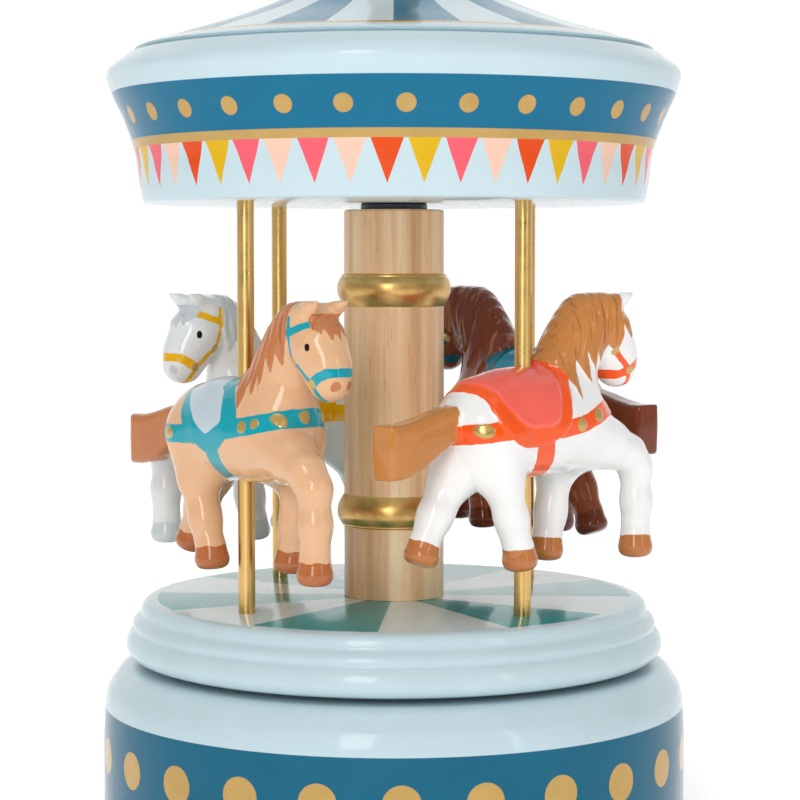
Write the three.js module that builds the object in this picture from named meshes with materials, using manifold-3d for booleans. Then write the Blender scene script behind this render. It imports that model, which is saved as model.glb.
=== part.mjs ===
// A wind-up music box: a turned wooden base with a spring movement inside it, and a carousel
// of four horses that the movement turns while it plays.
//
// Millimetres, +Z up. The origin is the centre of the base's underside, on the axis that the
// carousel turns about. The front of the box looks along -Y.
//
// Inside the base a key on the underside winds a mainspring. The spring's barrel carries the
// turntable, so the carousel turns with it, and crown teeth on the barrel drive the pinned
// cylinder, which plucks a comb. A worm and an air vane hold the speed down.

import * as THREE from "three";
import { mergeVertices } from "three/addons/utils/BufferGeometryUtils.js";
import Module from "manifold-3d";

const wasm = await Module();
wasm.setup();

// ---------------------------------------------------------------- driving dimensions, in mm

// fits
const SLIDE_FIT = 0.15; // radial gap round a pin, a screw or a rod in its hole
const EASY_FIT = 0.3; // radial gap round a larger turned piece
const RUNNING_GAP = 1.2; // base to turntable

// base
const BASE_R = 65;
const BASE_H = 40;
const BASE_TOP_WALL = 5;
const BASE_FOOT_ROUND = 1.5;
const SHOULDER_DROP = 8; // height over which the top edge rounds off
const SHOULDER_IN = 6; // how far the flat top stands in from the side
const WELL_DEPTH = 11;
const COVER_T = 3;
const WELL_R = 52; // wide recess under the base, for the key and the cover
const CAVITY_R = 47; // room for the movement
const BED_GAP = 1; // the bedplate's corners are cut to stay this far off the cavity's wall
const COVER_SCREW_CIRCLE_R = 49.4;
const WOOD_SCREW_R = 1.3;
const WOOD_SCREW_HEAD_R = 2.3;
const WOOD_SCREW_HEAD_H = 1.5;
const WOOD_SCREW_GRIP = 7; // length of thread in the wood

// turntable
const DECK_T = 13;
const DECK_TOP_R = 54;
const DECK_R = 59.9;
const DRIVE_PLATE_R = 16;
const DRIVE_PLATE_T = 2;
const DRIVE_SCREW_CIRCLE_R = 12;
const DRIVE_SCREW_HEAD_H = 0.6;
const SHAFT_R = 3;
const BUSH_WALL = 2.2;
const BUSH_FLANGE_R = 8;
const BUSH_FLANGE_T = 0.5;

// centre column
const RIDE_H = 87.7; // turntable top to the canopy's underside
const COLUMN_R = 11.15;
const WASHER_T = 1.4;
const WASHER_R = 7.4;
const RING_R = 12.6;
const RING_H = 7;
const LOWER_RING_Z = 19.4; // ring centres above the turntable
const UPPER_RING_Z = 68.5;
const TIE_ROD_R = 1.5;
const TIE_HEAD_R = 3.1;
const TIE_HEAD_H = 2.8;

// poles
const POLE_R = 1.8;
const POLE_CIRCLE_R = 41.5;
const POLE_START_DEG = 41;
const POLE_COUNT = 4;
const POLE_FOOT_DEPTH = 8; // pole let into the turntable
const POLE_HEAD_DEPTH = 5; // pole let into the canopy

// canopy and roof
const CANOPY_R = 55.6; // at its lower edge
const CANOPY_H = 32.6;
const RIM_R = 63.4;
const RIM_ROUND = 4.4;
const CANOPY_FLOOR = 7;
const CANOPY_BORE_R = 47.5;
const ROOF_R = 57;
const ROOF_RISE = 24;
const ROOF_WALL = 6;
const ROOF_TIP_R = 7;
const SPIGOT_H = 3;
const FINIAL_R = 7;
const FINIAL_PEG_R = 2.5;
const FINIAL_PEG_L = 6;

// spring movement
const BEDPLATE_T = 2;
const ARBOR_R = 2;
const ARBOR_CORE_R = 3.3; // the thick part that the spring hooks on
const RATCHET_R = 4.6;
const RATCHET_T = 1;
const BARREL_R = 9;
const BARREL_WALL = 0.8;
const BARREL_H = 9.8;
const CROWN_TEETH = 24;
const CROWN_FACE = 1.8; // length of the crown teeth
const CROWN_STANDOFF = 0.9; // the crown teeth stand this far off the barrel's wall
const CROWN_RIM_T = 0.41; // rim under the crown teeth
const PINION_TEETH = 12;
const CYLINDER_R = 6.2;
const CYLINDER_L = 17;
const PIN_LIFT = 0.8;
const COMB_NOTES = 18;
const COMB_PITCH = 0.9;
const COMB_T = 1.2;
const TINE_L = 6.6;
const TINE_GAP = 0.3; // between two tines
const PLUCK_GAP = 0.25; // between a pin and a tine's tip
const TRAIN_MODULE = 0.5;
const CYLINDER_WHEEL_TEETH = 28;
const GOVERNOR_PINION_TEETH = 8;
const GOVERNOR_WHEEL_TEETH = 24;
const WORM_R = 1.15;
const WORM_THROW = 0.5; // the worm's round core stands this far off its axis
const WORM_TURNS = 3;
const FLY_R = 4.5;
const FLY_H = 2.6;
const PIVOT_R = 0.5;
const MOVEMENT_PIVOT_R = 1;

// key
const KEY_SPAN = 27;
const KEY_H = 7;
const KEY_T = 1.3;
const KEY_HUB_R = 3.4;
const KEY_HUB_H = 6.5;
const KEY_FLOOR_GAP = 1.6; // the key stays this far off the table

// horses
const HORSE_L = 71.5;
const HORSE_H = 58; // hoof to ear
const HORSE_LIFT = 9.5; // lowest hoof above the turntable

// ---------------------------------------------------------------- heights that follow from them

const coverZ = WELL_DEPTH;
const bedZ = coverZ + COVER_T;
const bedTop = bedZ + BEDPLATE_T;
const barrelZ = bedTop + 0.2 + RATCHET_T + 0.4;
const barrelTop = barrelZ + BARREL_H;
const crownR = BARREL_R + CROWN_STANDOFF + CROWN_FACE / 2;
const crownModule = (2 * crownR) / CROWN_TEETH;
const pinionR = (PINION_TEETH * crownModule) / 2;
const axisZ = barrelZ + CROWN_RIM_T + pinionR + 1.1 * crownModule; // the cylinder's axis
const ceilingZ = BASE_H - BASE_TOP_WALL;
const deckZ = BASE_H + RUNNING_GAP;
const deckTop = deckZ + DECK_T;
const canopyZ = deckTop + RIDE_H;
const columnTop = canopyZ - WASHER_T;
const rimTop = canopyZ + CANOPY_H;
const roofTop = rimTop + ROOF_RISE;

// ---------------------------------------------------------------- materials

const paintedWood = (color) => new THREE.MeshStandardMaterial({ color, roughness: 0.22 });
const wood = new THREE.MeshStandardMaterial({ color: 0xd9b98c, roughness: 0.55 });
const board = new THREE.MeshStandardMaterial({ color: 0xb98f62, roughness: 0.75 });
const brass = new THREE.MeshStandardMaterial({ color: 0xc9a85a, roughness: 0.28, metalness: 1 });
const steel = new THREE.MeshStandardMaterial({ color: 0xb9bcc0, roughness: 0.3, metalness: 1 });
const zinc = new THREE.MeshStandardMaterial({ color: 0x8f9498, roughness: 0.45, metalness: 1 });
const darkSteel = new THREE.MeshStandardMaterial({ color: 0x4c4d50, roughness: 0.4, metalness: 1 });
const paleBlue = paintedWood(0xcde0e6);
const gold = new THREE.MeshStandardMaterial({ color: 0xc9a86a, roughness: 0.35, metalness: 0.6 });

// ---------------------------------------------------------------- shape helpers

// A closed three.js geometry as a solid that can be joined and cut.
function solid(geometry) {
  const bare = new THREE.BufferGeometry();
  bare.setAttribute("position", geometry.getAttribute("position").clone());
  const index = geometry.getIndex();
  if (index) bare.setIndex(index.clone());
  const merged = mergeVertices(bare, 1e-4);
  const corners = merged.getIndex().array;
  const kept = [];
  for (let i = 0; i < corners.length; i += 3) {
    const [a, b, c] = [corners[i], corners[i + 1], corners[i + 2]];
    if (a !== b && b !== c && c !== a) kept.push(a, b, c);
  }
  const vertProperties = new Float32Array(merged.getAttribute("position").array);
  const mesh = new wasm.Mesh({ numProp: 3, vertProperties, triVerts: new Uint32Array(kept) });
  return new wasm.Manifold(mesh);
}

function geometryOf(body) {
  const mesh = body.getMesh();
  const geometry = new THREE.BufferGeometry();
  geometry.setAttribute("position", new THREE.BufferAttribute(mesh.vertProperties, 3));
  geometry.setIndex(new THREE.BufferAttribute(mesh.triVerts, 1));
  geometry.computeVertexNormals();
  return geometry;
}

const joined = (bodies) => bodies.reduce((all, body) => all.add(body));
const cut = (body, tools) => tools.reduce((left, tool) => left.subtract(tool), body);

// A turned piece from the [radius, height] points of its half section, listed up the outside
// and back down the inside, with its height along Z.
function turned(section, segments = 36) {
  const points = section.map(([r, z]) => new THREE.Vector2(r, z));
  points.push(points[0].clone());
  const geometry = new THREE.LatheGeometry(points, segments);
  geometry.rotateX(Math.PI / 2);
  return solid(geometry);
}

// A round bar, standing on z0 and centred on x, y.
function bar(radius, z0, z1, x = 0, y = 0, segments = 12) {
  const geometry = new THREE.CylinderGeometry(radius, radius, z1 - z0, segments);
  geometry.rotateX(Math.PI / 2);
  geometry.translate(x, y, (z0 + z1) / 2);
  return solid(geometry);
}

// A round bar lying along X.
function crossBar(radius, x0, x1, y, z, segments = 12) {
  const geometry = new THREE.CylinderGeometry(radius, radius, x1 - x0, segments);
  geometry.rotateZ(Math.PI / 2);
  geometry.translate((x0 + x1) / 2, y, z);
  return solid(geometry);
}

function block(x0, x1, y0, y1, z0, z1) {
  const geometry = new THREE.BoxGeometry(x1 - x0, y1 - y0, z1 - z0);
  geometry.translate((x0 + x1) / 2, (y0 + y1) / 2, (z0 + z1) / 2);
  return solid(geometry);
}

// A plate of this outline, from z0 to z1.
function plate(shape, z0, z1, curveSegments = 10) {
  const options = { depth: z1 - z0, bevelEnabled: false, curveSegments };
  const geometry = new THREE.ExtrudeGeometry(shape, options);
  geometry.translate(0, 0, z0);
  return solid(geometry);
}

// A closed skin over rings, from one end to the other. A ring is its centre x, y, z, the angle
// its axis makes with +X in the XZ plane, in degrees, and its half width and half depth.
function lofted(rings, sides) {
  const positions = [];
  for (const [x, y, z, tilt, halfWidth, halfDepth] of rings) {
    const lean = THREE.MathUtils.degToRad(tilt);
    for (let j = 0; j < sides; j++) {
      const turn = (2 * Math.PI * j) / sides;
      const across = halfWidth * Math.cos(turn);
      const up = halfDepth * Math.sin(turn);
      positions.push(x - up * Math.sin(lean), y + across, z + up * Math.cos(lean));
    }
  }
  const index = [];
  for (let i = 0; i + 1 < rings.length; i++) {
    for (let j = 0; j < sides; j++) {
      const [a, b] = [i * sides + j, i * sides + ((j + 1) % sides)];
      index.push(a, b, a + sides, b, b + sides, a + sides);
    }
  }
  const last = (rings.length - 1) * sides;
  for (let j = 1; j + 1 < sides; j++) {
    index.push(0, j + 1, j);
    index.push(last, last + j, last + j + 1);
  }
  const geometry = new THREE.BufferGeometry();
  geometry.setAttribute("position", new THREE.Float32BufferAttribute(positions, 3));
  geometry.setIndex(index);
  return solid(geometry);
}

// The outline of a spur gear with straight-sided teeth, one tooth on +X before the turn.
function gearOutline(teeth, module, thin, turnDeg = 0) {
  const pitchR = (teeth * module) / 2;
  const tipR = pitchR + 0.9 * module;
  const rootR = pitchR - 1.2 * module;
  const half = Math.PI / teeth / 2 - thin / pitchR / 2;
  const shape = new THREE.Shape();
  for (let k = 0; k < teeth; k++) {
    const middle = (2 * Math.PI * k) / teeth + THREE.MathUtils.degToRad(turnDeg);
    const corners = [
      [rootR, -1.35 * half],
      [tipR, -0.42 * half],
      [tipR, 0.42 * half],
      [rootR, 1.35 * half],
    ];
    for (const [r, a] of corners) {
      const [x, y] = [r * Math.cos(middle + a), r * Math.sin(middle + a)];
      if (k === 0 && shape.curves.length === 0 && a < -0.5 * half) shape.moveTo(x, y);
      else shape.lineTo(x, y);
    }
  }
  shape.closePath();
  return shape;
}

function roundHole(radius, x = 0, y = 0) {
  const hole = new THREE.Path();
  hole.absarc(x, y, radius, 0, 2 * Math.PI, true);
  return hole;
}

// A gear on an axis along X: its outline's +X points down.
function crossGear(teeth, module, thin, turnDeg, boreR, x0, x1, y, z) {
  const outline = gearOutline(teeth, module, thin, turnDeg);
  if (boreR > 0) outline.holes.push(roundHole(boreR));
  const options = { depth: x1 - x0, bevelEnabled: false, curveSegments: 6 };
  const geometry = new THREE.ExtrudeGeometry(outline, options);
  geometry.rotateY(Math.PI / 2);
  geometry.translate(x0, y, z);
  return solid(geometry);
}

// A screw driven upwards: its head hangs below the face at z, its thread goes up from it.
function risingScrew(x, y, z, grip, radius = WOOD_SCREW_R) {
  const head = bar(WOOD_SCREW_HEAD_R, z - WOOD_SCREW_HEAD_H, z, x, y, 16);
  const slot = block(x - 3, x + 3, y - 0.3, y + 0.3, z - WOOD_SCREW_HEAD_H - 1, z - 0.9);
  return joined([head, bar(radius, z - 0.2, z + grip, x, y, 12)]).subtract(slot);
}

// A screw driven down into the face at z.
function sinkingScrew(x, y, z, grip, radius, headR, headH) {
  const head = bar(headR, z, z + headH, x, y, 12);
  const slot = block(x - 3, x + 3, y - 0.2, y + 0.2, z + headH - 0.5, z + headH + 1);
  return joined([head, bar(radius, z - grip, z + 0.2, x, y, 10)]).subtract(slot);
}

const onCircle = (radius, degrees) => {
  const a = THREE.MathUtils.degToRad(degrees);
  return [radius * Math.cos(a), radius * Math.sin(a)];
};

const music_box = new THREE.Group();

function addPiece(name, body, material, parent = music_box) {
  const mesh = new THREE.Mesh(geometryOf(body), material);
  mesh.name = name;
  parent.add(mesh);
  return mesh;
}

// ---------------------------------------------------------------- movement: places on the bed

const crownX = [crownR - CROWN_FACE / 2, crownR + CROWN_FACE / 2];
const crownRim = crownX[1] + 0.3;
const nearPost = [crownRim + 0.5, crownRim + 1.9];
const cylinderX = [nearPost[1] + 0.4, nearPost[1] + 0.4 + CYLINDER_L];
const cylinderWheelX = [cylinderX[1] + 0.5, cylinderX[1] + 1.7];
const farPost = [cylinderWheelX[1] + 0.5, cylinderWheelX[1] + 1.9];
const governorWheelX = [farPost[1] + 0.5, farPost[1] + 1.5];
const wormX = (governorWheelX[0] + governorWheelX[1]) / 2;
const cylinderWheelR = (CYLINDER_WHEEL_TEETH * TRAIN_MODULE) / 2;
const governorPinionR = (GOVERNOR_PINION_TEETH * TRAIN_MODULE) / 2;
const governorWheelR = (GOVERNOR_WHEEL_TEETH * TRAIN_MODULE) / 2;
const governorY = -(cylinderWheelR + governorPinionR);
const wormY = governorY - governorWheelR - WORM_R - 0.15;
const wormPitch = Math.PI * TRAIN_MODULE;
const pinR = CYLINDER_R + PIN_LIFT;
const combTipY = pinR + PLUCK_GAP;
const combRootY = combTipY + TINE_L;
const combX = (cylinderX[0] + cylinderX[1]) / 2;
const combHalf = (COMB_NOTES * COMB_PITCH) / 2 + 0.4;
const combBackY = combRootY + 7.6;
const combScrewY = combRootY + 4;
const combScrewX = [combX - combHalf + 3.4, combX + combHalf - 3.4];
const COMB_SCREW_R = 0.9;
const COMB_SCREW_GRIP = 5;
const bracketScrew = [wormX - 5.5, wormY - 0.9];
const bedX = [-BARREL_R - 7, governorWheelX[1] + 2.6];
const bedY = [wormY - WORM_R - WORM_THROW - 2.55, combBackY + 1.55];

// ---------------------------------------------------------------- base

const coverScrewPlaces = [90, 210, 330].map((deg) => onCircle(COVER_SCREW_CIRCLE_R, deg));

// The base's top edge, from the side in to the flat top.
function shoulder() {
  const share = [
    [0, 1],
    [0.09, 0.84],
    [0.2, 0.6],
    [0.38, 0.36],
    [0.6, 0.17],
    [1, 0],
  ];
  return share.map(([inward, drop]) => [
    BASE_R - inward * SHOULDER_IN,
    BASE_H - drop * SHOULDER_DROP,
  ]);
}

const bushR = SHAFT_R + SLIDE_FIT + BUSH_WALL;

function baseHousing() {
  const section = [
    [BASE_R - BASE_FOOT_ROUND, 0],
    [BASE_R - 0.3 * BASE_FOOT_ROUND, 0.3 * BASE_FOOT_ROUND],
    [BASE_R, BASE_FOOT_ROUND],
    ...shoulder(),
    [bushR + SLIDE_FIT, BASE_H],
    [bushR + SLIDE_FIT, ceilingZ],
    [CAVITY_R, ceilingZ],
    [CAVITY_R, bedZ],
    [WELL_R, bedZ],
    [WELL_R, 0],
  ];
  const holes = coverScrewPlaces.map(([x, y]) =>
    bar(WOOD_SCREW_R + SLIDE_FIT, bedZ - 1, coverZ + WOOD_SCREW_GRIP + 0.5, x, y, 12),
  );
  return cut(turned(section), holes);
}

const movementScrewPlaces = [
  [bedX[0] + 4, bedY[0] + 4.5],
  [bedX[0] + 4, bedY[1] - 4],
  [bedX[1] - 3.4, bedY[1] - 4],
];

function bottomCover() {
  const disc = bar(WELL_R - EASY_FIT, coverZ, bedZ, 0, 0, 36);
  const places = [...coverScrewPlaces, ...movementScrewPlaces];
  const holes = places.map(([x, y]) =>
    bar(WOOD_SCREW_R + SLIDE_FIT, coverZ - 1, bedZ + 1, x, y, 12),
  );
  holes.push(bar(ARBOR_R + EASY_FIT, coverZ - 1, bedZ + 1));
  return cut(disc, holes);
}

// The flanged bush that the turntable's shaft runs in, let into the base's top.
function spindleBush() {
  return turned(
    [
      [bushR, ceilingZ],
      [bushR, BASE_H],
      [BUSH_FLANGE_R, BASE_H],
      [BUSH_FLANGE_R, BASE_H + BUSH_FLANGE_T],
      [SHAFT_R + SLIDE_FIT, BASE_H + BUSH_FLANGE_T],
      [SHAFT_R + SLIDE_FIT, ceilingZ],
    ],
    24,
  );
}

addPiece("base_housing", baseHousing(), paleBlue);
addPiece("bottom_cover", bottomCover(), board);
coverScrewPlaces.forEach(([x, y], i) => {
  addPiece(`cover_screw_${i + 1}`, risingScrew(x, y, coverZ, WOOD_SCREW_GRIP), steel);
});
movementScrewPlaces.forEach(([x, y], i) => {
  const grip = COVER_T + BEDPLATE_T;
  addPiece(`movement_screw_${i + 1}`, risingScrew(x, y, coverZ, grip), steel);
});
addPiece("spindle_bush", spindleBush(), brass);

// ---------------------------------------------------------------- movement: fixed pieces

function bearingPost(x0, x1, y0, y1, bearings) {
  const post = block(x0, x1, y0, y1, bedTop - 0.5, axisZ + 3.6);
  return cut(
    post,
    bearings.map(([y, r]) => crossBar(r + SLIDE_FIT, x0 - 1, x1 + 1, y, axisZ)),
  );
}

// The cast plate with its bearing posts and the bench that the comb is screwed to.
function movementBedplate() {
  const room = bar(CAVITY_R - BED_GAP, bedZ - 1, bedTop + 1, 0, 0, 36);
  const slab = block(bedX[0], bedX[1], bedY[0], bedY[1], bedZ, bedTop).intersect(room);
  const bench = block(
    combX - combHalf,
    combX + combHalf,
    combRootY + 0.4,
    combBackY,
    bedTop - 0.5,
    axisZ - COMB_T / 2,
  );
  const posts = [
    bearingPost(nearPost[0], nearPost[1], -3.5, 3.5, [[0, MOVEMENT_PIVOT_R]]),
    bearingPost(farPost[0], farPost[1], governorY - 2.2, 3.5, [
      [0, MOVEMENT_PIVOT_R],
      [governorY, PIVOT_R],
    ]),
    bearingPost(farPost[0] - 4.3, farPost[0] - 3.1, governorY - 1.8, governorY + 1.4, [
      [governorY, PIVOT_R],
    ]),
  ];
  const holes = movementScrewPlaces.map(([x, y]) =>
    bar(WOOD_SCREW_R + SLIDE_FIT, bedZ - 1, bedTop + 1, x, y, 12),
  );
  holes.push(bar(ARBOR_R + SLIDE_FIT, bedZ - 1, bedTop + 1));
  for (const x of combScrewX) {
    const z = axisZ + COMB_T / 2 - COMB_SCREW_GRIP - 0.5;
    holes.push(bar(COMB_SCREW_R + SLIDE_FIT, z, axisZ, x, combScrewY, 10));
  }
  const [sx, sy] = bracketScrew;
  holes.push(bar(COMB_SCREW_R + SLIDE_FIT, bedZ - 1, bedTop + 1, sx, sy, 10));
  return cut(joined([slab, bench, ...posts]), holes);
}

// The steel comb: one tine for each note, longer at the low end in a real one and level here.
function comb() {
  const [z0, z1] = [axisZ - COMB_T / 2, axisZ + COMB_T / 2];
  const outline = new THREE.Shape();
  outline.moveTo(combX + combHalf, combBackY);
  outline.lineTo(combX - combHalf, combBackY);
  outline.lineTo(combX - combHalf, combRootY);
  for (let i = 0; i < COMB_NOTES; i++) {
    const middle = combX + (i - (COMB_NOTES - 1) / 2) * COMB_PITCH;
    const half = (COMB_PITCH - TINE_GAP) / 2;
    outline.lineTo(middle - half, combRootY);
    outline.lineTo(middle - half, combTipY);
    outline.lineTo(middle + half, combTipY);
    outline.lineTo(middle + half, combRootY);
  }
  outline.lineTo(combX + combHalf, combRootY);
  outline.closePath();
  const holes = combScrewX.map((x) =>
    bar(COMB_SCREW_R + SLIDE_FIT, z0 - 1, z1 + 1, x, combScrewY, 10),
  );
  return cut(plate(outline, z0, z1), holes);
}

// The click that stops the winding arbor from running back. It stands just off the ratchet.
function click() {
  const arm = block(RATCHET_R + 0.3, 8.2, -6.2, -4.7, bedTop, bedTop + RATCHET_T + 0.2);
  const stud = bar(1.3, bedTop, bedTop + RATCHET_T + 0.3, 7, -5.6, 12);
  const tip = block(RATCHET_R + 0.3, 6.4, -6.2, -1.2, bedTop, bedTop + RATCHET_T + 0.2);
  return joined([arm, stud, tip]);
}

// The bracket that holds the worm upright beside the governor wheel.
function governorBracket() {
  const [back, front] = [wormY - WORM_R - WORM_THROW - 1.9, wormY + 1.1];
  const foot = block(wormX - 8, wormX + 2.3, back, front, bedTop, bedTop + 1);
  const upright = block(wormX - 2, wormX + 2, back, back + 1.5, bedTop + 0.5, axisZ + 5.9);
  const arm = block(wormX - 2, wormX + 2, back, front, axisZ + 4.9, axisZ + 5.9);
  const bore = bar(PIVOT_R + SLIDE_FIT, bedTop + 0.3, axisZ + 8, wormX, wormY, 10);
  const [sx, sy] = bracketScrew;
  const screwHole = bar(COMB_SCREW_R + SLIDE_FIT, bedTop - 1, bedTop + 2, sx, sy, 10);
  return cut(joined([foot, upright, arm]), [bore, screwHole]);
}

addPiece("movement_bedplate", movementBedplate(), zinc);
addPiece("comb", comb(), steel);
combScrewX.forEach((x, i) => {
  const z = axisZ + COMB_T / 2;
  const body = sinkingScrew(x, combScrewY, z, COMB_SCREW_GRIP, COMB_SCREW_R, 1.9, 1.3);
  addPiece(`comb_screw_${i + 1}`, body, steel);
});
addPiece("click", click(), darkSteel);
addPiece("governor_bracket", governorBracket(), brass);
const bracketScrewBody = sinkingScrew(...bracketScrew, bedTop + 1, 2.6, COMB_SCREW_R, 1.6, 1);
addPiece("governor_bracket_screw", bracketScrewBody, steel);

// ---------------------------------------------------------------- key and winding arbor

const arborEnd = KEY_FLOOR_GAP + 2;

function windingArbor() {
  const spindle = bar(ARBOR_R, arborEnd, barrelTop - 1.6, 0, 0, 16);
  const core = bar(ARBOR_CORE_R, barrelZ + 1.2, barrelTop - 1.6, 0, 0, 16);
  return joined([spindle, core]);
}

function ratchetWheel() {
  const teeth = 14;
  const shape = new THREE.Shape();
  for (let k = 0; k < teeth; k++) {
    const a = (2 * Math.PI * k) / teeth;
    const b = (2 * Math.PI * (k + 0.9)) / teeth;
    const [tipX, tipY] = [RATCHET_R * Math.cos(a), RATCHET_R * Math.sin(a)];
    const low = RATCHET_R - 0.8;
    if (k === 0) shape.moveTo(tipX, tipY);
    else shape.lineTo(tipX, tipY);
    shape.lineTo(low * Math.cos(b), low * Math.sin(b));
  }
  shape.closePath();
  shape.holes.push(roundHole(ARBOR_R + SLIDE_FIT));
  return plate(shape, bedTop + 0.2, bedTop + 0.2 + RATCHET_T);
}

// A butterfly key: a hub with two pierced wings.
function windingKey() {
  const half = KEY_SPAN / 2;
  const wings = new THREE.Shape();
  wings.moveTo(-half + 2, 0);
  wings.lineTo(half - 2, 0);
  wings.quadraticCurveTo(half, 0, half, KEY_H / 2);
  wings.quadraticCurveTo(half, KEY_H, half - 3, KEY_H);
  wings.lineTo(2.5, KEY_H - 2);
  wings.lineTo(-2.5, KEY_H - 2);
  wings.lineTo(-half + 3, KEY_H);
  wings.quadraticCurveTo(-half, KEY_H, -half, KEY_H / 2);
  wings.quadraticCurveTo(-half, 0, -half + 2, 0);
  for (const x of [-half + 4.2, half - 4.2]) wings.holes.push(roundHole(1.9, x, KEY_H / 2));
  const options = { depth: KEY_T, bevelEnabled: false, curveSegments: 5 };
  const flat = new THREE.ExtrudeGeometry(wings, options);
  flat.translate(0, 0, -KEY_T / 2);
  flat.rotateX(Math.PI / 2);
  flat.translate(0, 0, KEY_FLOOR_GAP);
  const hub = bar(KEY_HUB_R, KEY_FLOOR_GAP, KEY_FLOOR_GAP + KEY_HUB_H, 0, 0, 20);
  const socket = bar(ARBOR_R + SLIDE_FIT, arborEnd, KEY_FLOOR_GAP + KEY_HUB_H + 1, 0, 0, 16);
  return joined([solid(flat), hub]).subtract(socket);
}

addPiece("winding_arbor", windingArbor(), steel);
addPiece("ratchet_wheel", ratchetWheel(), steel);
addPiece("winding_key", windingKey(), steel);

// ---------------------------------------------------------------- spring barrel and turntable shaft

const crownRoot = axisZ - pinionR - 1.1 * crownModule;
const crownTip = axisZ - pinionR + 0.8 * crownModule;

// One crown tooth, standing on the rim, its faces leaning in towards its tip.
function crownTooth(degrees) {
  const shape = new THREE.Shape();
  const [foot, tip] = [0.944 * crownModule, 0.311 * crownModule];
  shape.moveTo(-foot, crownRoot - 0.4);
  shape.lineTo(foot, crownRoot - 0.4);
  shape.lineTo(tip, crownTip);
  shape.lineTo(-tip, crownTip);
  shape.closePath();
  const geometry = new THREE.ExtrudeGeometry(shape, { depth: CROWN_FACE, bevelEnabled: false });
  geometry.rotateX(Math.PI / 2);
  geometry.translate(0, crownX[1], 0);
  geometry.rotateZ(THREE.MathUtils.degToRad(degrees - 90));
  return solid(geometry);
}

function springBarrel() {
  const cup = turned(
    [
      [BARREL_R, barrelZ],
      [crownRim, barrelZ - 0.5],
      [crownRim, crownRoot],
      [BARREL_R, crownRoot],
      [BARREL_R, barrelTop],
      [0, barrelTop],
      [0, barrelTop - 1],
      [BARREL_R - BARREL_WALL, barrelTop - 1],
      [BARREL_R - BARREL_WALL, barrelZ],
    ],
    24,
  );
  const step = 360 / CROWN_TEETH;
  const teeth = [...Array(CROWN_TEETH).keys()].map((k) => crownTooth((k + 0.5) * step));
  return joined([cup, ...teeth]);
}

function barrelCover() {
  const disc = bar(BARREL_R - BARREL_WALL - SLIDE_FIT - 0.1, barrelZ, barrelZ + 0.7, 0, 0, 24);
  return disc.subtract(bar(ARBOR_R + EASY_FIT, barrelZ - 1, barrelZ + 2));
}

// The coiled mainspring, part wound, clear of the arbor and of the barrel's wall.
function mainspring() {
  const turns = 3.5;
  const steps = Math.round(turns * 14);
  const [inner, outer] = [ARBOR_CORE_R + 0.5, BARREL_R - BARREL_WALL - 0.6];
  const shape = new THREE.Shape();
  const at = (t, off) => {
    const r = inner + (outer - inner) * t + off;
    const a = 2 * Math.PI * turns * t;
    return [r * Math.cos(a), r * Math.sin(a)];
  };
  shape.moveTo(...at(0, 0));
  for (let i = 1; i <= steps; i++) shape.lineTo(...at(i / steps, 0));
  for (let i = steps; i >= 0; i--) shape.lineTo(...at(i / steps, 0.35));
  shape.closePath();
  return plate(shape, barrelZ + 1.3, barrelTop - 1.6);
}

// The stub that stands on the barrel, runs in the base's bush and carries the drive plate.
function turntableShaft() {
  return turned(
    [
      [BARREL_R - 2, barrelTop],
      [BARREL_R - 2, barrelTop + 1.6],
      [SHAFT_R, barrelTop + 1.6],
      [SHAFT_R, deckZ + DRIVE_PLATE_T],
      [0, deckZ + DRIVE_PLATE_T],
      [0, barrelTop],
    ],
    20,
  );
}

addPiece("spring_barrel", springBarrel(), brass);
addPiece("barrel_cover", barrelCover(), brass);
addPiece("mainspring", mainspring(), darkSteel);
addPiece("turntable_shaft", turntableShaft(), steel);

// ---------------------------------------------------------------- cylinder

// The tune: for each note, where its pins stand round the cylinder, in degrees.
function tune() {
  const pins = [];
  for (let note = 0; note < COMB_NOTES; note++) {
    const count = note % 6 === 1 ? 3 : 2;
    for (let k = 0; k < count; k++) {
      pins.push([note, (note * 137 + k * (360 / count) + 23 * k * (note % 4)) % 360]);
    }
  }
  return pins;
}

function musicCylinder() {
  const drum = crossBar(CYLINDER_R, cylinderX[0], cylinderX[1], 0, axisZ, 24);
  const bore = crossBar(MOVEMENT_PIVOT_R + SLIDE_FIT, cylinderX[0] - 1, cylinderX[1] + 1, 0, axisZ);
  const pins = tune().map(([note, degrees]) => {
    const geometry = new THREE.BoxGeometry(0.36, 0.36, PIN_LIFT + 0.8);
    geometry.translate(0, 0, CYLINDER_R - 0.8 + (PIN_LIFT + 0.8) / 2);
    geometry.rotateX(THREE.MathUtils.degToRad(degrees));
    const x = combX + (note - (COMB_NOTES - 1) / 2) * COMB_PITCH;
    geometry.translate(x, 0, axisZ);
    return solid(geometry);
  });
  return joined([drum, ...pins]).subtract(bore);
}

function cylinderPinion() {
  const bore = MOVEMENT_PIVOT_R + SLIDE_FIT;
  return crossGear(PINION_TEETH, crownModule, 0.3, 0, bore, crownX[0], crownX[1], 0, axisZ);
}

function cylinderWheel() {
  const bore = MOVEMENT_PIVOT_R + SLIDE_FIT;
  const [x0, x1] = cylinderWheelX;
  return crossGear(CYLINDER_WHEEL_TEETH, TRAIN_MODULE, 0.16, 0, bore, x0, x1, 0, axisZ);
}

addPiece("music_cylinder", musicCylinder(), brass);
const arborX = [crownX[0] - 0.3, farPost[1] + 0.2];
const cylinderArbor = crossBar(MOVEMENT_PIVOT_R, arborX[0], arborX[1], 0, axisZ);
addPiece("cylinder_arbor", cylinderArbor, steel);
addPiece("cylinder_pinion", cylinderPinion(), brass);
addPiece("cylinder_wheel", cylinderWheel(), brass);

// ---------------------------------------------------------------- governor

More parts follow.
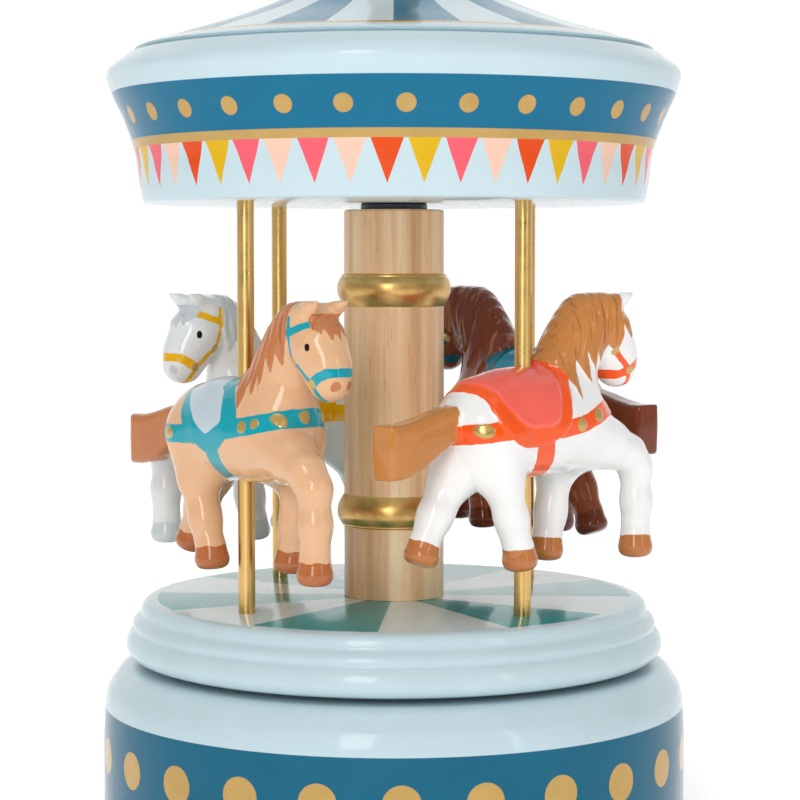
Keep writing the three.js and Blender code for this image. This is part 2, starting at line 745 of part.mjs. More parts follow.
function governorArbor() {
  const shaft = crossBar(PIVOT_R, farPost[0] - 4.5, governorWheelX[1] + 0.4, governorY, axisZ, 10);
  const [x0, x1] = [cylinderWheelX[0] - 0.2, cylinderWheelX[1] + 0.2];
  const half = 180 / GOVERNOR_PINION_TEETH;
  const teeth = GOVERNOR_PINION_TEETH;
  const leaves = crossGear(teeth, TRAIN_MODULE, 0.16, half, 0, x0, x1, governorY, axisZ);
  return joined([shaft, leaves]);
}

function governorWheel() {
  const [x0, x1] = governorWheelX;
  const bore = PIVOT_R + SLIDE_FIT;
  const teeth = GOVERNOR_WHEEL_TEETH;
  return crossGear(teeth, TRAIN_MODULE, 0.35, 0, bore, x0, x1, governorY, axisZ);
}

// A single-start worm: a round core that stands off its axis and turns once in each pitch. At
// the wheel's height it leans away from the wheel, where a tooth lies.
function governorWorm() {
  const [sides, steps] = [8, 8];
  const count = WORM_TURNS * steps;
  const positions = [];
  for (let i = 0; i <= count; i++) {
    const z = axisZ + wormPitch * (i / steps - WORM_TURNS / 2);
    const lean = (2 * Math.PI * (z - axisZ)) / wormPitch - Math.PI / 2;
    for (let j = 0; j < sides; j++) {
      const a = (2 * Math.PI * j) / sides;
      const x = wormX + WORM_THROW * Math.cos(lean) + WORM_R * Math.cos(a);
      positions.push(x, wormY + WORM_THROW * Math.sin(lean) + WORM_R * Math.sin(a), z);
    }
  }
  const index = [];
  for (let i = 0; i < count; i++) {
    for (let j = 0; j < sides; j++) {
      const [a, b] = [i * sides + j, i * sides + ((j + 1) % sides)];
      index.push(a, b, a + sides, b, b + sides, a + sides);
    }
  }
  for (let j = 1; j + 1 < sides; j++) {
    index.push(0, j + 1, j);
    index.push(count * sides, count * sides + j, count * sides + j + 1);
  }
  const geometry = new THREE.BufferGeometry();
  geometry.setAttribute("position", new THREE.Float32BufferAttribute(positions, 3));
  geometry.setIndex(index);
  const shaft = bar(PIVOT_R, bedTop + 0.5, axisZ + 6.5 + FLY_H, wormX, wormY, 10);
  return joined([solid(geometry), shaft]);
}

// The air vane on top of the worm.
function governorFly() {
  const [z0, z1] = [axisZ + 6.7, axisZ + 6.5 + FLY_H];
  const vane = block(wormX - FLY_R, wormX + FLY_R, wormY - 0.35, wormY + 0.35, z0, z1);
  const collar = bar(1.5, z0, z1, wormX, wormY, 12);
  const bore = bar(PIVOT_R + SLIDE_FIT, z0 - 1, z1 + 1, wormX, wormY, 10);
  return joined([vane, collar]).subtract(bore);
}

addPiece("governor_arbor", governorArbor(), steel);
addPiece("governor_wheel", governorWheel(), brass);
addPiece("governor_worm", governorWorm(), steel);
addPiece("governor_fly", governorFly(), brass);

// ---------------------------------------------------------------- turntable

const polePlaces = [...Array(POLE_COUNT).keys()].map((k) =>
  onCircle(POLE_CIRCLE_R, POLE_START_DEG + (360 / POLE_COUNT) * k),
);
const drivePlaces = [30, 150, 270].map((deg) => onCircle(DRIVE_SCREW_CIRCLE_R, deg));
const driveTop = deckZ + DRIVE_PLATE_T;
const tieHeadTop = driveTop + TIE_HEAD_H + 0.2;

function deckSection() {
  const [bottom, top] = [deckZ, deckTop];
  const bead = DECK_R - 3.2;
  return [
    [DECK_R - 2.4, bottom],
    [DECK_R - 0.7, bottom + 1.2],
    [DECK_R, bottom + 3.2],
    [DECK_R - 0.7, bottom + 5.2],
    [bead + 1.2, bottom + 6.4],
    [bead + 1.2, bottom + 8.4],
    [bead, bottom + 9.8],
    [bead - 0.7, bottom + 9.8],
    [bead - 0.9, bottom + 11.7],
    [DECK_TOP_R, top],
    [TIE_ROD_R + SLIDE_FIT, top],
    [TIE_ROD_R + SLIDE_FIT, tieHeadTop],
    [TIE_HEAD_R + EASY_FIT, tieHeadTop],
    [TIE_HEAD_R + EASY_FIT, driveTop],
    [DRIVE_PLATE_R + EASY_FIT, driveTop],
    [DRIVE_PLATE_R + EASY_FIT, bottom],
  ];
}

function deck() {
  const sockets = polePlaces.map(([x, y]) =>
    bar(POLE_R + SLIDE_FIT, deckTop - POLE_FOOT_DEPTH, deckTop + 1, x, y, 16),
  );
  const screwHoles = drivePlaces.map(([x, y]) =>
    bar(WOOD_SCREW_R + SLIDE_FIT, driveTop - 1, deckZ + 6.5, x, y, 12),
  );
  return cut(turned(deckSection()), [...sockets, ...screwHoles]);
}

function drivePlate() {
  const disc = bar(DRIVE_PLATE_R, deckZ, driveTop, 0, 0, 24);
  const holes = drivePlaces.map(([x, y]) =>
    bar(WOOD_SCREW_R + SLIDE_FIT, deckZ - 1, driveTop + 1, x, y, 12),
  );
  holes.push(bar(SHAFT_R + SLIDE_FIT, deckZ - 1, driveTop + 1, 0, 0, 20));
  return cut(disc, holes);
}

function driveScrew([x, y]) {
  const head = bar(WOOD_SCREW_HEAD_R, deckZ - DRIVE_SCREW_HEAD_H, deckZ, x, y, 12);
  return joined([head, bar(WOOD_SCREW_R, deckZ - 0.3, deckZ + 6, x, y, 12)]);
}

addPiece("deck", deck(), paleBlue);
addPiece("drive_plate", drivePlate(), steel);
drivePlaces.forEach((place, i) => addPiece(`drive_plate_screw_${i + 1}`, driveScrew(place), steel));

// ---------------------------------------------------------------- column

// One gold-painted bead on the column, as the points up its outside.
function beadPoints(middle, radius) {
  const h = RING_H / 2;
  return [
    [COLUMN_R, middle - h],
    [COLUMN_R + 0.35 * (radius - COLUMN_R), middle - 0.8 * h],
    [radius, middle - 0.4 * h],
    [radius, middle + 0.4 * h],
    [COLUMN_R + 0.35 * (radius - COLUMN_R), middle + 0.8 * h],
    [COLUMN_R, middle + h],
  ];
}

function column() {
  return turned(
    [
      [COLUMN_R, deckTop],
      ...beadPoints(deckTop + LOWER_RING_Z, RING_R),
      ...beadPoints(deckTop + UPPER_RING_Z, RING_R),
      [COLUMN_R, columnTop],
      [TIE_ROD_R + SLIDE_FIT, columnTop],
      [TIE_ROD_R + SLIDE_FIT, deckTop],
    ],
    24,
  );
}

const tieNutZ = canopyZ + CANOPY_FLOOR;

// The rod that clamps turntable, column and canopy, with its head under the turntable.
function tieRod() {
  const head = bar(TIE_HEAD_R, tieHeadTop - TIE_HEAD_H, tieHeadTop, 0, 0, 6);
  return joined([head, bar(TIE_ROD_R, tieHeadTop - 1, tieNutZ + 5, 0, 0, 12)]);
}

function tieNut() {
  const nut = bar(3, tieNutZ, tieNutZ + 2.4, 0, 0, 6);
  return nut.subtract(bar(TIE_ROD_R + SLIDE_FIT, tieNutZ - 1, tieNutZ + 4, 0, 0, 12));
}

function spacerWasher() {
  const disc = bar(WASHER_R, columnTop, canopyZ, 0, 0, 32);
  return disc.subtract(bar(TIE_ROD_R + SLIDE_FIT, columnTop - 1, canopyZ + 1, 0, 0, 12));
}

addPiece("column", column(), wood);
addPiece("tie_rod", tieRod(), steel);
addPiece("tie_nut", tieNut(), steel);
addPiece("spacer_washer", spacerWasher(), darkSteel);

// ---------------------------------------------------------------- canopy, roof and finial

// The canopy's flared side, from its lower edge up to where the rim rounds over.
function flare() {
  const share = [
    [0, 0],
    [0.1, 0.12],
    [0.17, 0.28],
    [0.25, 0.36],
    [0.4, 0.5],
    [0.6, 0.62],
    [0.85, 0.77],
  ];
  return share.map(([out, up]) => [
    CANOPY_R + out * (RIM_R - CANOPY_R),
    canopyZ + up * CANOPY_H,
  ]);
}

function canopySection() {
  return [
    ...flare(),
    [RIM_R, rimTop - RIM_ROUND],
    [RIM_R - 0.3 * RIM_ROUND, rimTop - 0.36 * RIM_ROUND],
    [RIM_R - RIM_ROUND, rimTop],
    [CANOPY_BORE_R, rimTop],
    [CANOPY_BORE_R, tieNutZ],
    [TIE_ROD_R + SLIDE_FIT, tieNutZ],
    [TIE_ROD_R + SLIDE_FIT, canopyZ],
  ];
}

function canopyDrum() {
  const sockets = polePlaces.map(([x, y]) =>
    bar(POLE_R + SLIDE_FIT, canopyZ - 1, canopyZ + POLE_HEAD_DEPTH, x, y, 16),
  );
  return cut(turned(canopySection()), sockets);
}

// The roof: a shallow cone with a hollow underside and a spigot that drops into the canopy.
function roof() {
  const spigotR = CANOPY_BORE_R - EASY_FIT;
  return turned(
    [
      [spigotR, rimTop - SPIGOT_H],
      [spigotR, rimTop],
      [ROOF_R, rimTop],
      [ROOF_R, rimTop + 1],
      [0.62 * ROOF_R, rimTop + 0.33 * ROOF_RISE],
      [0.3 * ROOF_R, rimTop + 0.7 * ROOF_RISE],
      [ROOF_TIP_R, roofTop],
      [FINIAL_PEG_R + SLIDE_FIT, roofTop],
      [FINIAL_PEG_R + SLIDE_FIT, roofTop - FINIAL_PEG_L - 0.5],
      [0, roofTop - FINIAL_PEG_L - 0.5],
      [0, roofTop - FINIAL_PEG_L - ROOF_WALL],
      [0.3 * ROOF_R, rimTop + 0.7 * ROOF_RISE - ROOF_WALL - 2],
      [spigotR - ROOF_WALL, rimTop - SPIGOT_H],
    ],
    36,
  );
}

// The gold ball on top, with a collar and a peg into the roof.
function finial() {
  const [centre, points] = [roofTop + 2 + 0.9 * FINIAL_R, []];
  for (let i = 0; i <= 6; i++) {
    const a = -1.12 + (i * (Math.PI / 2 + 1.12)) / 6;
    const r = i === 6 ? 0 : FINIAL_R * Math.cos(a);
    points.push([r, centre + FINIAL_R * Math.sin(a)]);
  }
  return turned(
    [
      [FINIAL_PEG_R, roofTop - FINIAL_PEG_L],
      [FINIAL_PEG_R, roofTop],
      [5, roofTop],
      [5, roofTop + 1.4],
      [3.4, roofTop + 1.8],
      ...points,
      [0, roofTop - FINIAL_PEG_L],
    ],
    18,
  );
}

addPiece("canopy_drum", canopyDrum(), paleBlue);
addPiece("roof", roof(), paleBlue);
addPiece("finial", finial(), gold);

// ---------------------------------------------------------------- poles and horses

// Where a horse's own points go: forward of the pole, to the left of it, above the turntable.
const foreScale = HORSE_L / 71.5;
const riseScale = HORSE_H / 58;
const placed = ([x, y, z, tilt, halfWidth, halfDepth]) => [
  x * foreScale,
  y,
  HORSE_LIFT + (z - 9.5) * riseScale,
  tilt,
  halfWidth,
  halfDepth * riseScale,
];
const limb = (rings, sides) => lofted(rings.map(placed), sides);

const trunkRings = [
  [-22.3, 0, 41, 0, 3, 3.4],
  [-20, 0, 41, 0, 7.2, 7],
  [-14, 0, 40.6, 0, 9.3, 9.4],
  [-4, 0, 40.2, 0, 9.3, 9.8],
  [6, 0, 40.2, 0, 9.2, 10],
  [13, 0, 41.4, 0, 8.6, 9.6],
  [18, 0, 43, 0, 6.4, 7.6],
  [20.6, 0, 44, 0, 3, 4],
];
const neckRings = [
  [11, 0, 42.5, 60, 7.6, 10],
  [13.5, 0, 51.3, 61, 5.8, 7.6],
  [14.8, 0, 57, 55, 4.9, 5.8],
  [17.4, 0, 61, 45, 4.6, 5.6],
  [21.5, 0, 63.4, 25, 4.2, 4.4],
];
const headRings = [
  [23.7, 0, 66, -88, 3.4, 4.2],
  [23.9, 0, 62.5, -82, 4.7, 5.6],
  [25, 0, 57.5, -72, 4.5, 5],
  [27.4, 0, 52.6, -62, 3.5, 4.1],
  [29.2, 0, 49.6, -60, 3.4, 3.4],
  [30, 0, 47.6, -60, 2.2, 2.2],
];
const tailRings = [
  [-18, 0, 42.6, 190, 2.6, 3],
  [-23, 0, 40.8, 200, 3, 4.4],
  [-29, 0, 38, 202, 3.4, 5],
  [-35, 0, 36, 188, 3.5, 5.4],
  [-39.5, 0, 35.6, 180, 3.2, 5.2],
];
const earRings = (side) => [
  [26, side * 3, 63, 62, 1.7, 1.6],
  [27.4, side * 3.4, 65.2, 62, 1.4, 1.3],
  [28.9, side * 3.9, 67.3, 62, 0.4, 0.4],
];
const hoofRings = (x, y) => [
  [x, y, 14.8, -90, 3.3, 3.3],
  [x + 0.4, y, 9.5, -90, 3.7, 3.8],
];
const legs = [
  [
    [13, -4.4, 39, -8, 4, 5.4],
    [21, -4.8, 37.2, -14, 3.6, 4.2],
    [27.4, -5, 35, -38, 3.1, 3.4],
    [29.6, -5, 31, -75, 2.9, 3],
    [29.2, -5, 22, -91, 2.6, 2.6],
    [28.9, -5, 14.9, -91, 2.8, 2.8],
    ...hoofRings(28.8, -5),
  ],
  [
    [14.6, 4.6, 38, -97, 4.2, 5.2],
    [13.2, 4.8, 29, -98, 3.3, 3.8],
    [11.6, 5, 20, -98, 2.7, 2.8],
    [10.3, 5, 14.9, -97, 2.8, 2.8],
    ...hoofRings(9.8, 5),
  ],
  [
    [-14.2, -4.8, 38, -78, 4.6, 6.4],
    [-11.8, -5, 29, -74, 3.8, 4.8],
    [-8.6, -5, 20.5, -72, 2.9, 3.2],
    [-6.6, -5, 14.9, -76, 2.8, 2.8],
    ...hoofRings(-6, -5),
  ],
  [
    [-15, 4.8, 38, -100, 4.6, 6.4],
    [-18, 5, 29, -112, 3.7, 4.6],
    [-22.2, 5, 20.8, -116, 2.9, 3.2],
    [-25.4, 5, 14.9, -112, 2.8, 2.9],
    ...hoofRings(-26.2, 5),
  ],
];

// One horse round its pole, nose along +X, with a bore for the pole.
function horse() {
  const bodies = [
    limb(trunkRings, 8),
    limb(neckRings, 8),
    limb(headRings, 8),
    limb(tailRings, 6),
    limb(earRings(-1), 4),
    limb(earRings(1), 4),
    ...legs.map((rings) => limb(rings, 6)),
  ];
  const bore = bar(POLE_R + SLIDE_FIT, HORSE_LIFT - 5, HORSE_LIFT + HORSE_H + 10, 0, 0, 16);
  return joined(bodies).subtract(bore);
}

const coats = [paintedWood(0x6b2e1a), paintedWood(0xe9ecec), paintedWood(0xe8b88c), paintedWood(0xf6f3ee)];
const horseBody = horse();
polePlaces.forEach(([x, y], k) => {
  const pole = bar(POLE_R, deckTop - POLE_FOOT_DEPTH, canopyZ + POLE_HEAD_DEPTH - 0.3, x, y, 16);
  addPiece(`pole_${k + 1}`, pole, brass);
  const seat = new THREE.Group();
  seat.position.set(x, y, deckTop);
  seat.rotation.z = THREE.MathUtils.degToRad(POLE_START_DEG + (360 / POLE_COUNT) * k + 90);
  music_box.add(seat);
  addPiece(`horse_${k + 1}`, horseBody, coats[k % coats.length], seat);
});

export default music_box;
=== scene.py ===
# %% [markdown]
# # A painted wooden carousel music box
# The music box is turned wood with glossy paint: a base, a turntable that rides on it, a
# column, four brass poles with four cast horses, and a flared canopy. The measured model
# is loaded first and never moved. Pieces that show as smooth turned wood or as modelled
# horses are built again here with finer surfaces, in the same place and at the same size.

# %% Load the measured model
import math

import bpy
import numpy as np
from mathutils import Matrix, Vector


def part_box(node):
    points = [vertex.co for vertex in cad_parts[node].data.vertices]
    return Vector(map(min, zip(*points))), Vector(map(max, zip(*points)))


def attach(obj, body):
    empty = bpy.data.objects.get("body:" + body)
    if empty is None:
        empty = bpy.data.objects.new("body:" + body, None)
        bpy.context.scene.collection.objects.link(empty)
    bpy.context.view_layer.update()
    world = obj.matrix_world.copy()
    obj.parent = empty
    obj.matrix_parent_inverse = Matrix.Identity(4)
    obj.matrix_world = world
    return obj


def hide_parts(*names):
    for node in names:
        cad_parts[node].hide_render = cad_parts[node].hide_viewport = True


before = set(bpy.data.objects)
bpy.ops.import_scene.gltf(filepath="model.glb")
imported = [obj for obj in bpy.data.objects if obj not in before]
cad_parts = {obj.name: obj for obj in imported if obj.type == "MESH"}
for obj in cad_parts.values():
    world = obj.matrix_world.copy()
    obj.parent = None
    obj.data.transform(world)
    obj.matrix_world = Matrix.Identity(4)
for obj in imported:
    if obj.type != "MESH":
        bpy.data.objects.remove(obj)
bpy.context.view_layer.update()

scene = bpy.context.scene

# %% [markdown]
# A camera with a long lens keeps the object's sides nearly upright. It stands a little
# above the middle of the column and looks slightly down, so the underside of the canopy and
# the top of the turntable both show.

# %% Camera
LENS_MM = 103.95
LOOK_DOWN = 3.44  # degrees below level

camera = bpy.data.objects.new("camera", bpy.data.cameras.new("camera"))
scene.collection.objects.link(camera)
camera.data.sensor_width = 36
camera.data.lens = LENS_MM
camera.location = (0.00134, -0.5166, 0.1291)
camera.rotation_euler = (math.radians(90 - LOOK_DOWN), 0, 0)
scene.camera = camera
print("camera at", [round(v, 3) for v in camera.location])

# %% [markdown]
# Paint colours are written as the hex values a painter would pick on a screen. The renderer
# works with linear light, so one small function turns each hex value into linear colour. The
# Standard view then shows that colour again, with no film curve over it.

# %% Colours
PALE = "#CADFE6"
GOLD = "#C9A45F"


def linear(hex_colour):
    """#rrggbb as four linear numbers."""
    parts = [int(hex_colour[i : i + 2], 16) / 255 for i in (1, 3, 5)]
    return tuple(p / 12.92 if p <= 0.04045 else ((p + 0.055) / 1.055) ** 2.4 for p in parts) + (1,)


scene.view_settings.view_transform = "Standard"
print("pale blue in linear light:", [round(v, 3) for v in linear(PALE)])

# %% [markdown]
# Every finish is a small graph of shader nodes. One helper adds a node with its settings and
# its links, and hands back the output that the next node needs. Two more open a finish and
# close it with its surface shader.

# %% One helper for shader nodes
def put(tree, kind, settings=None, sockets=None, out=0):
    """Adds a node; sockets maps an input's name or number to a value or to another output."""
    node = tree.nodes.new("ShaderNode" + kind)
    for key, value in (settings or {}).items():
        setattr(node, key, value)
    for key, value in (sockets or {}).items():
        if isinstance(value, bpy.types.NodeSocket):
            tree.links.new(value, node.inputs[key])
        else:
            node.inputs[key].default_value = value
    return node.outputs[out] if node.outputs else None


def new_finish(name):
    """An empty material, as (material, node tree)."""
    material = bpy.data.materials.new(name)
    material.use_nodes = True
    material.node_tree.nodes.clear()
    return material, material.node_tree


def close_finish(tree, sockets, relief, depth_mm):
    """Ends a finish with its surface shader; relief is a height that becomes bump."""
    sockets["Normal"] = put(tree, "Bump", {}, {"Distance": depth_mm / 1000, "Height": relief})
    put(tree, "OutputMaterial", {}, {"Surface": put(tree, "BsdfPrincipled", {}, sockets)})


# %% [markdown]
# Painted patterns need a few small tools: arithmetic on outputs, a soft-edged mask, a mix of
# two colours by a mask, and a ramp of colours. A brush or a pad leaves an edge that is sharp
# but not perfectly so, and the mask's width is that edge in millimetres.

# %% Masks and mixes for painted patterns
EDGE_MM = 0.06  # half the width of a painted edge


def reckon(tree, operation, a, b=0.0):
    return put(tree, "Math", {"operation": operation}, {0: a, 1: b})


def below(tree, value, limit, edge=EDGE_MM):
    """1 where value is under limit and 0 above it, with a soft edge."""
    return put(
        tree, "MapRange", {"interpolation_type": "SMOOTHSTEP"},
        {"Value": value, 1: limit - edge, 2: limit + edge, 3: 1.0, 4: 0.0},
    )


def between(tree, value, low, high, edge=EDGE_MM):
    return reckon(tree, "MULTIPLY", below(tree, value, high, edge),
                  reckon(tree, "SUBTRACT", 1.0, below(tree, value, low, edge)))


def paint_over(tree, mask, under, over):
    """over is laid on under where mask is 1."""
    return put(tree, "Mix", {"data_type": "RGBA"}, {0: mask, 6: under, 7: over}, out=2)


def ramp_of(tree, value, stops, blend="LINEAR"):
    """Colours along a value; stops are (position, hex colour) from low to high."""
    node = tree.nodes.new("ShaderNodeValToRGB")
    node.color_ramp.interpolation = blend
    for end, (position, colour) in zip(node.color_ramp.elements, (stops[0], stops[-1])):
        end.position, end.color = position, linear(colour)
    for position, colour in stops[1:-1]:
        node.color_ramp.elements.new(position).color = linear(colour)
    tree.links.new(value, node.inputs[0])
    return node.outputs[0]


print("a painted edge is", 2 * EDGE_MM, "mm wide")

# %% [markdown]
# Nothing painted or turned is quite even, so most finishes start from a cloudy value. It is
# worked out from the point on the piece, in millimetres, so its patches have a real size.

# %% Clouds of a real size
def place_in(tree, stretch=(1, 1, 1)):
    """The point on the piece, in millimetres, stretched if the pattern runs along an axis."""
    raw = put(tree, "TexCoord", out="Object")
    return put(tree, "VectorMath", {"operation": "MULTIPLY"},
               {0: raw, 1: tuple(1000 * s for s in stretch)})


def mottle(tree, size_mm, stretch=(1, 1, 1), detail=3.0):
    """A cloudy value from 0 to 1 whose patches are about size_mm across."""
    return put(tree, "TexNoise", {}, {"Vector": place_in(tree, stretch), "Scale": 1 / size_mm,
                                      "Detail": detail, "Roughness": 0.55})


# %% [markdown]
# The paint on the turned wood is an alkyd enamel, sprayed and then clear-coated. It levels
# out almost flat: what is left is a faint unevenness like orange peel about a millimetre
# across, and patches of slightly thicker and thinner colour. Enamel has an IOR of about
# 1.5. Its own reflection is kept low, because the clear varnish over it makes the highlights.
# The gold is the same enamel with metal powder in it, so it is partly metallic.

# %% Enamel paint
ENAMEL = {"IOR": 1.5, "Specular IOR Level": 0.1, "Coat Roughness": 0.04, "Coat IOR": 1.5}
PATCH_MM = 9  # across one patch of thicker or thinner paint
PEEL_MM = 1.1  # across one bump of the orange peel
GILT_METAL = 0.35


def enamel_shade(tree, hex_colour, depth=0.06):
    """The paint with its own slight patchiness; depth is how much darker it gets."""
    cloud = mottle(tree, PATCH_MM, detail=4)
    strength = put(tree, "MapRange", {}, {"Value": cloud, 1: 0.3, 2: 0.7, 3: 1 - depth, 4: 1.0})
    grey = put(tree, "CombineColor", {}, {0: strength, 1: strength, 2: strength})
    return put(tree, "Mix", {"data_type": "RGBA", "blend_type": "MULTIPLY"},
               {0: 1.0, 6: linear(hex_colour), 7: grey}, out=2)


def enamel_surface(tree, colour, metal=0.0, peel_depth=0.012, varnish=0.3):
    """Closes a painted finish: roughness varies a little, and the film has orange peel."""
    film = mottle(tree, PEEL_MM, detail=2)
    rough = put(tree, "MapRange", {}, {"Value": mottle(tree, 6), 3: 0.13, 4: 0.24})
    close_finish(tree, {"Base Color": colour, "Roughness": rough, "Metallic": metal,
                        "Coat Weight": varnish, **ENAMEL}, film, peel_depth)


def gild_and_close(tree, colour, gilt):
    """Closes a painted finish that is gold where gilt is 1."""
    colour = paint_over(tree, gilt, colour, enamel_shade(tree, GOLD, 0.12))
    enamel_surface(tree, colour, metal=reckon(tree, "MULTIPLY", gilt, GILT_METAL))


print("enamel:", ENAMEL)

# %% [markdown]
# The patterns on the canopy, the base and the turntable go round the axis, so they are laid
# out by the angle round it and by height. Angle 0 faces the front of the box, and angles
# grow to the right.

# %% Angle and height for patterns round the axis
def heights_of(node):
    """A node's lowest and highest point, in mm."""
    low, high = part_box(node)
    return 1000 * low.z, 1000 * high.z


CANOPY_FOOT, CANOPY_TOP = heights_of("canopy_drum")
DECK_FOOT, DECK_TOP = heights_of("deck")
BASE_TOP = heights_of("base_housing")[1]


def length_of(tree, a, b):
    return reckon(tree, "SQRT", reckon(tree, "ADD", reckon(tree, "MULTIPLY", a, a),
                                       reckon(tree, "MULTIPLY", b, b)))


def round_the_axis(tree):
    """(angle in degrees, height in mm, distance from the axis in mm)."""
    x = put(tree, "SeparateXYZ", {}, {0: place_in(tree)})
    y, z = x.node.outputs[1], x.node.outputs[2]
    angle = reckon(tree, "DEGREES", reckon(tree, "ARCTAN2", x, reckon(tree, "MULTIPLY", y, -1.0)))
    return angle, z, length_of(tree, x, y)


def step_of(tree, angle, pitch, start):
    """(number of the step, angle from its middle) for a pattern repeated every pitch degrees."""
    turns = reckon(tree, "DIVIDE", reckon(tree, "SUBTRACT", angle, start), pitch)
    number = reckon(tree, "ROUND", turns)
    return number, reckon(tree, "MULTIPLY", reckon(tree, "SUBTRACT", turns, number), pitch)


def dots(tree, angle, height, pitch, start, centre, radius, drum_r, slope=1.0):
    """A row of round dots; drum_r is the radius they sit on, in mm."""
    along = reckon(tree, "MULTIPLY", step_of(tree, angle, pitch, start)[1], math.radians(drum_r))
    up = reckon(tree, "MULTIPLY", reckon(tree, "SUBTRACT", height, centre), slope)
    return below(tree, length_of(tree, along, up), radius)


print("canopy from", round(CANOPY_FOOT, 1), "to", round(CANOPY_TOP, 1), "mm")

# %% [markdown]
# **Canopy paint.** Pale blue enamel, with a ring of pennants printed under a gold line, and
# above it a sea-blue band with gold dots. Each pennant is a triangle 6.6 mm wide and 9 mm
# long. The colours go orange, yellow, pink and peach, and at one join left of the front pink
# and peach come twice. At the very back, where the angle wraps round, one pennant is split
# between two colours. Heights are measured from the canopy's foot.

# %% Canopy enamel
PENNANT_PITCH = 7.5  # degrees
PENNANT_START = -1.2
PENNANT_TIP = 2.7
PENNANT_L = 9.0
PENNANT_HALF_W = 3.3
PENNANT_DRUM_R = 57  # the canopy's radius where they are printed
PENNANT_COLOURS = ("#E64A00", "#E2B400", "#F4606F", "#F4C9B2")
COLOUR_JOIN = -2.5  # pennants with a lower number are two colours further on
CANOPY_LINE = (11.7, 13.6)
CANOPY_BAND = (13.5, 23.9)
CANOPY_DOTS = {"pitch": 12.0, "start": 2.5, "centre": 18.4, "radius": 2.0, "drum_r": 60.2, "slope": 1.08}


def pennant_colour(tree, number):
    moved = reckon(tree, "MULTIPLY", 2.0, reckon(tree, "LESS_THAN", number, COLOUR_JOIN))
    turn = reckon(tree, "FLOORED_MODULO", reckon(tree, "ADD", number, moved), 4.0)
    stops = [(max(0, 0.25 * i - 0.02), colour) for i, colour in enumerate(PENNANT_COLOURS)]
    return ramp_of(tree, reckon(tree, "DIVIDE", turn, 4.0), stops, "CONSTANT")


def canopy_enamel():
    material, tree = new_finish("canopy_enamel_pennants")
    angle, z, _ = round_the_axis(tree)
    z = reckon(tree, "SUBTRACT", z, CANOPY_FOOT)
    number, off = step_of(tree, angle, PENNANT_PITCH, PENNANT_START)
    across = reckon(tree, "MULTIPLY", reckon(tree, "ABSOLUTE", off), math.radians(PENNANT_DRUM_R))
    half = reckon(tree, "MULTIPLY", reckon(tree, "SUBTRACT", z, PENNANT_TIP), PENNANT_HALF_W / PENNANT_L)
    pennant = reckon(tree, "MULTIPLY", below(tree, reckon(tree, "SUBTRACT", across, half), 0.0),
                     below(tree, z, 12.0))
    colour = paint_over(tree, pennant, enamel_shade(tree, PALE, 0.03), pennant_colour(tree, number))
    colour = paint_over(tree, between(tree, z, *CANOPY_BAND), colour, enamel_shade(tree, "#006F93"))
    gild_and_close(tree, colour, reckon(tree, "MAXIMUM", between(tree, z, *CANOPY_LINE),
                                        dots(tree, angle, z, **CANOPY_DOTS)))
    return material


print("pennants:", 360 / PENNANT_PITCH, "and dots:", 360 / CANOPY_DOTS["pitch"])

# %% [markdown]
# **Base paint.** Pale blue on the shoulder, then a broad deep-blue band with gold dots twice
# the size of the canopy's, a gold line and a pale foot. The walls inside are at the band's
# height too, so the pattern is kept to what lies far enough from the axis.

# %% Base enamel
BASE_LINE = (7.6, 9.6)
BASE_BAND = (9.5, 30.9)
BASE_DOTS = {"pitch": 15.0, "start": 1.5, "centre": 21.5, "radius": 4.0, "drum_r": 65.0}
PATTERN_FROM_R = 58.0


def base_enamel():
    material, tree = new_finish("base_enamel")
    angle, z, away = round_the_axis(tree)
    outside = reckon(tree, "GREATER_THAN", away, PATTERN_FROM_R)
    band = reckon(tree, "MULTIPLY", between(tree, z, *BASE_BAND), outside)
    colour = paint_over(tree, band, enamel_shade(tree, "#C6DBE2", 0.04), enamel_shade(tree, "#006583", 0.1))
    gilt = reckon(tree, "MAXIMUM", between(tree, z, *BASE_LINE), dots(tree, angle, z, **BASE_DOTS))
    gild_and_close(tree, colour, reckon(tree, "MULTIPLY", outside, gilt))
    return material


print("dots round the base:", 360 / BASE_DOTS["pitch"])

# %% [markdown]
# **Turntable and roof paint.** Both are painted in sectors that run to the middle. The
# turntable's are teal and ice white inside a pale rim. The roof's are narrower stripes, blue
# and pale, and a thin gold ring goes round them.

# %% Turntable and roof enamel
DECK_SECTOR = 30.0  # degrees
ROOF_SECTOR = 15.0
DECK_DISC_R = 53.0
ROOF_STRIPES_R = (8.6, 52.5)
ROOF_LINE_R = (52.3, 53.9)


def sector_mask(tree, angle, pitch, start):
    """1 on every other sector of a disc."""
    off = step_of(tree, angle, 2 * pitch, start)[1]
    return below(tree, reckon(tree, "ABSOLUTE", off), pitch / 2, 0.12)


def turntable_enamel():
    material, tree = new_finish("turntable_enamel_sectors")
    angle, z, away = round_the_axis(tree)
    top = reckon(tree, "GREATER_THAN", z, DECK_TOP - 0.12)
    disc = reckon(tree, "MULTIPLY", top, below(tree, away, DECK_DISC_R))
    sectors = paint_over(tree, sector_mask(tree, angle, DECK_SECTOR, -18.4),
                         enamel_shade(tree, "#CFDCDB", 0.05), enamel_shade(tree, "#069A9A", 0.12))
    colour = paint_over(tree, disc, enamel_shade(tree, "#C6DBE1", 0.04), sectors)
    enamel_surface(tree, colour, peel_depth=0.006)
    return material


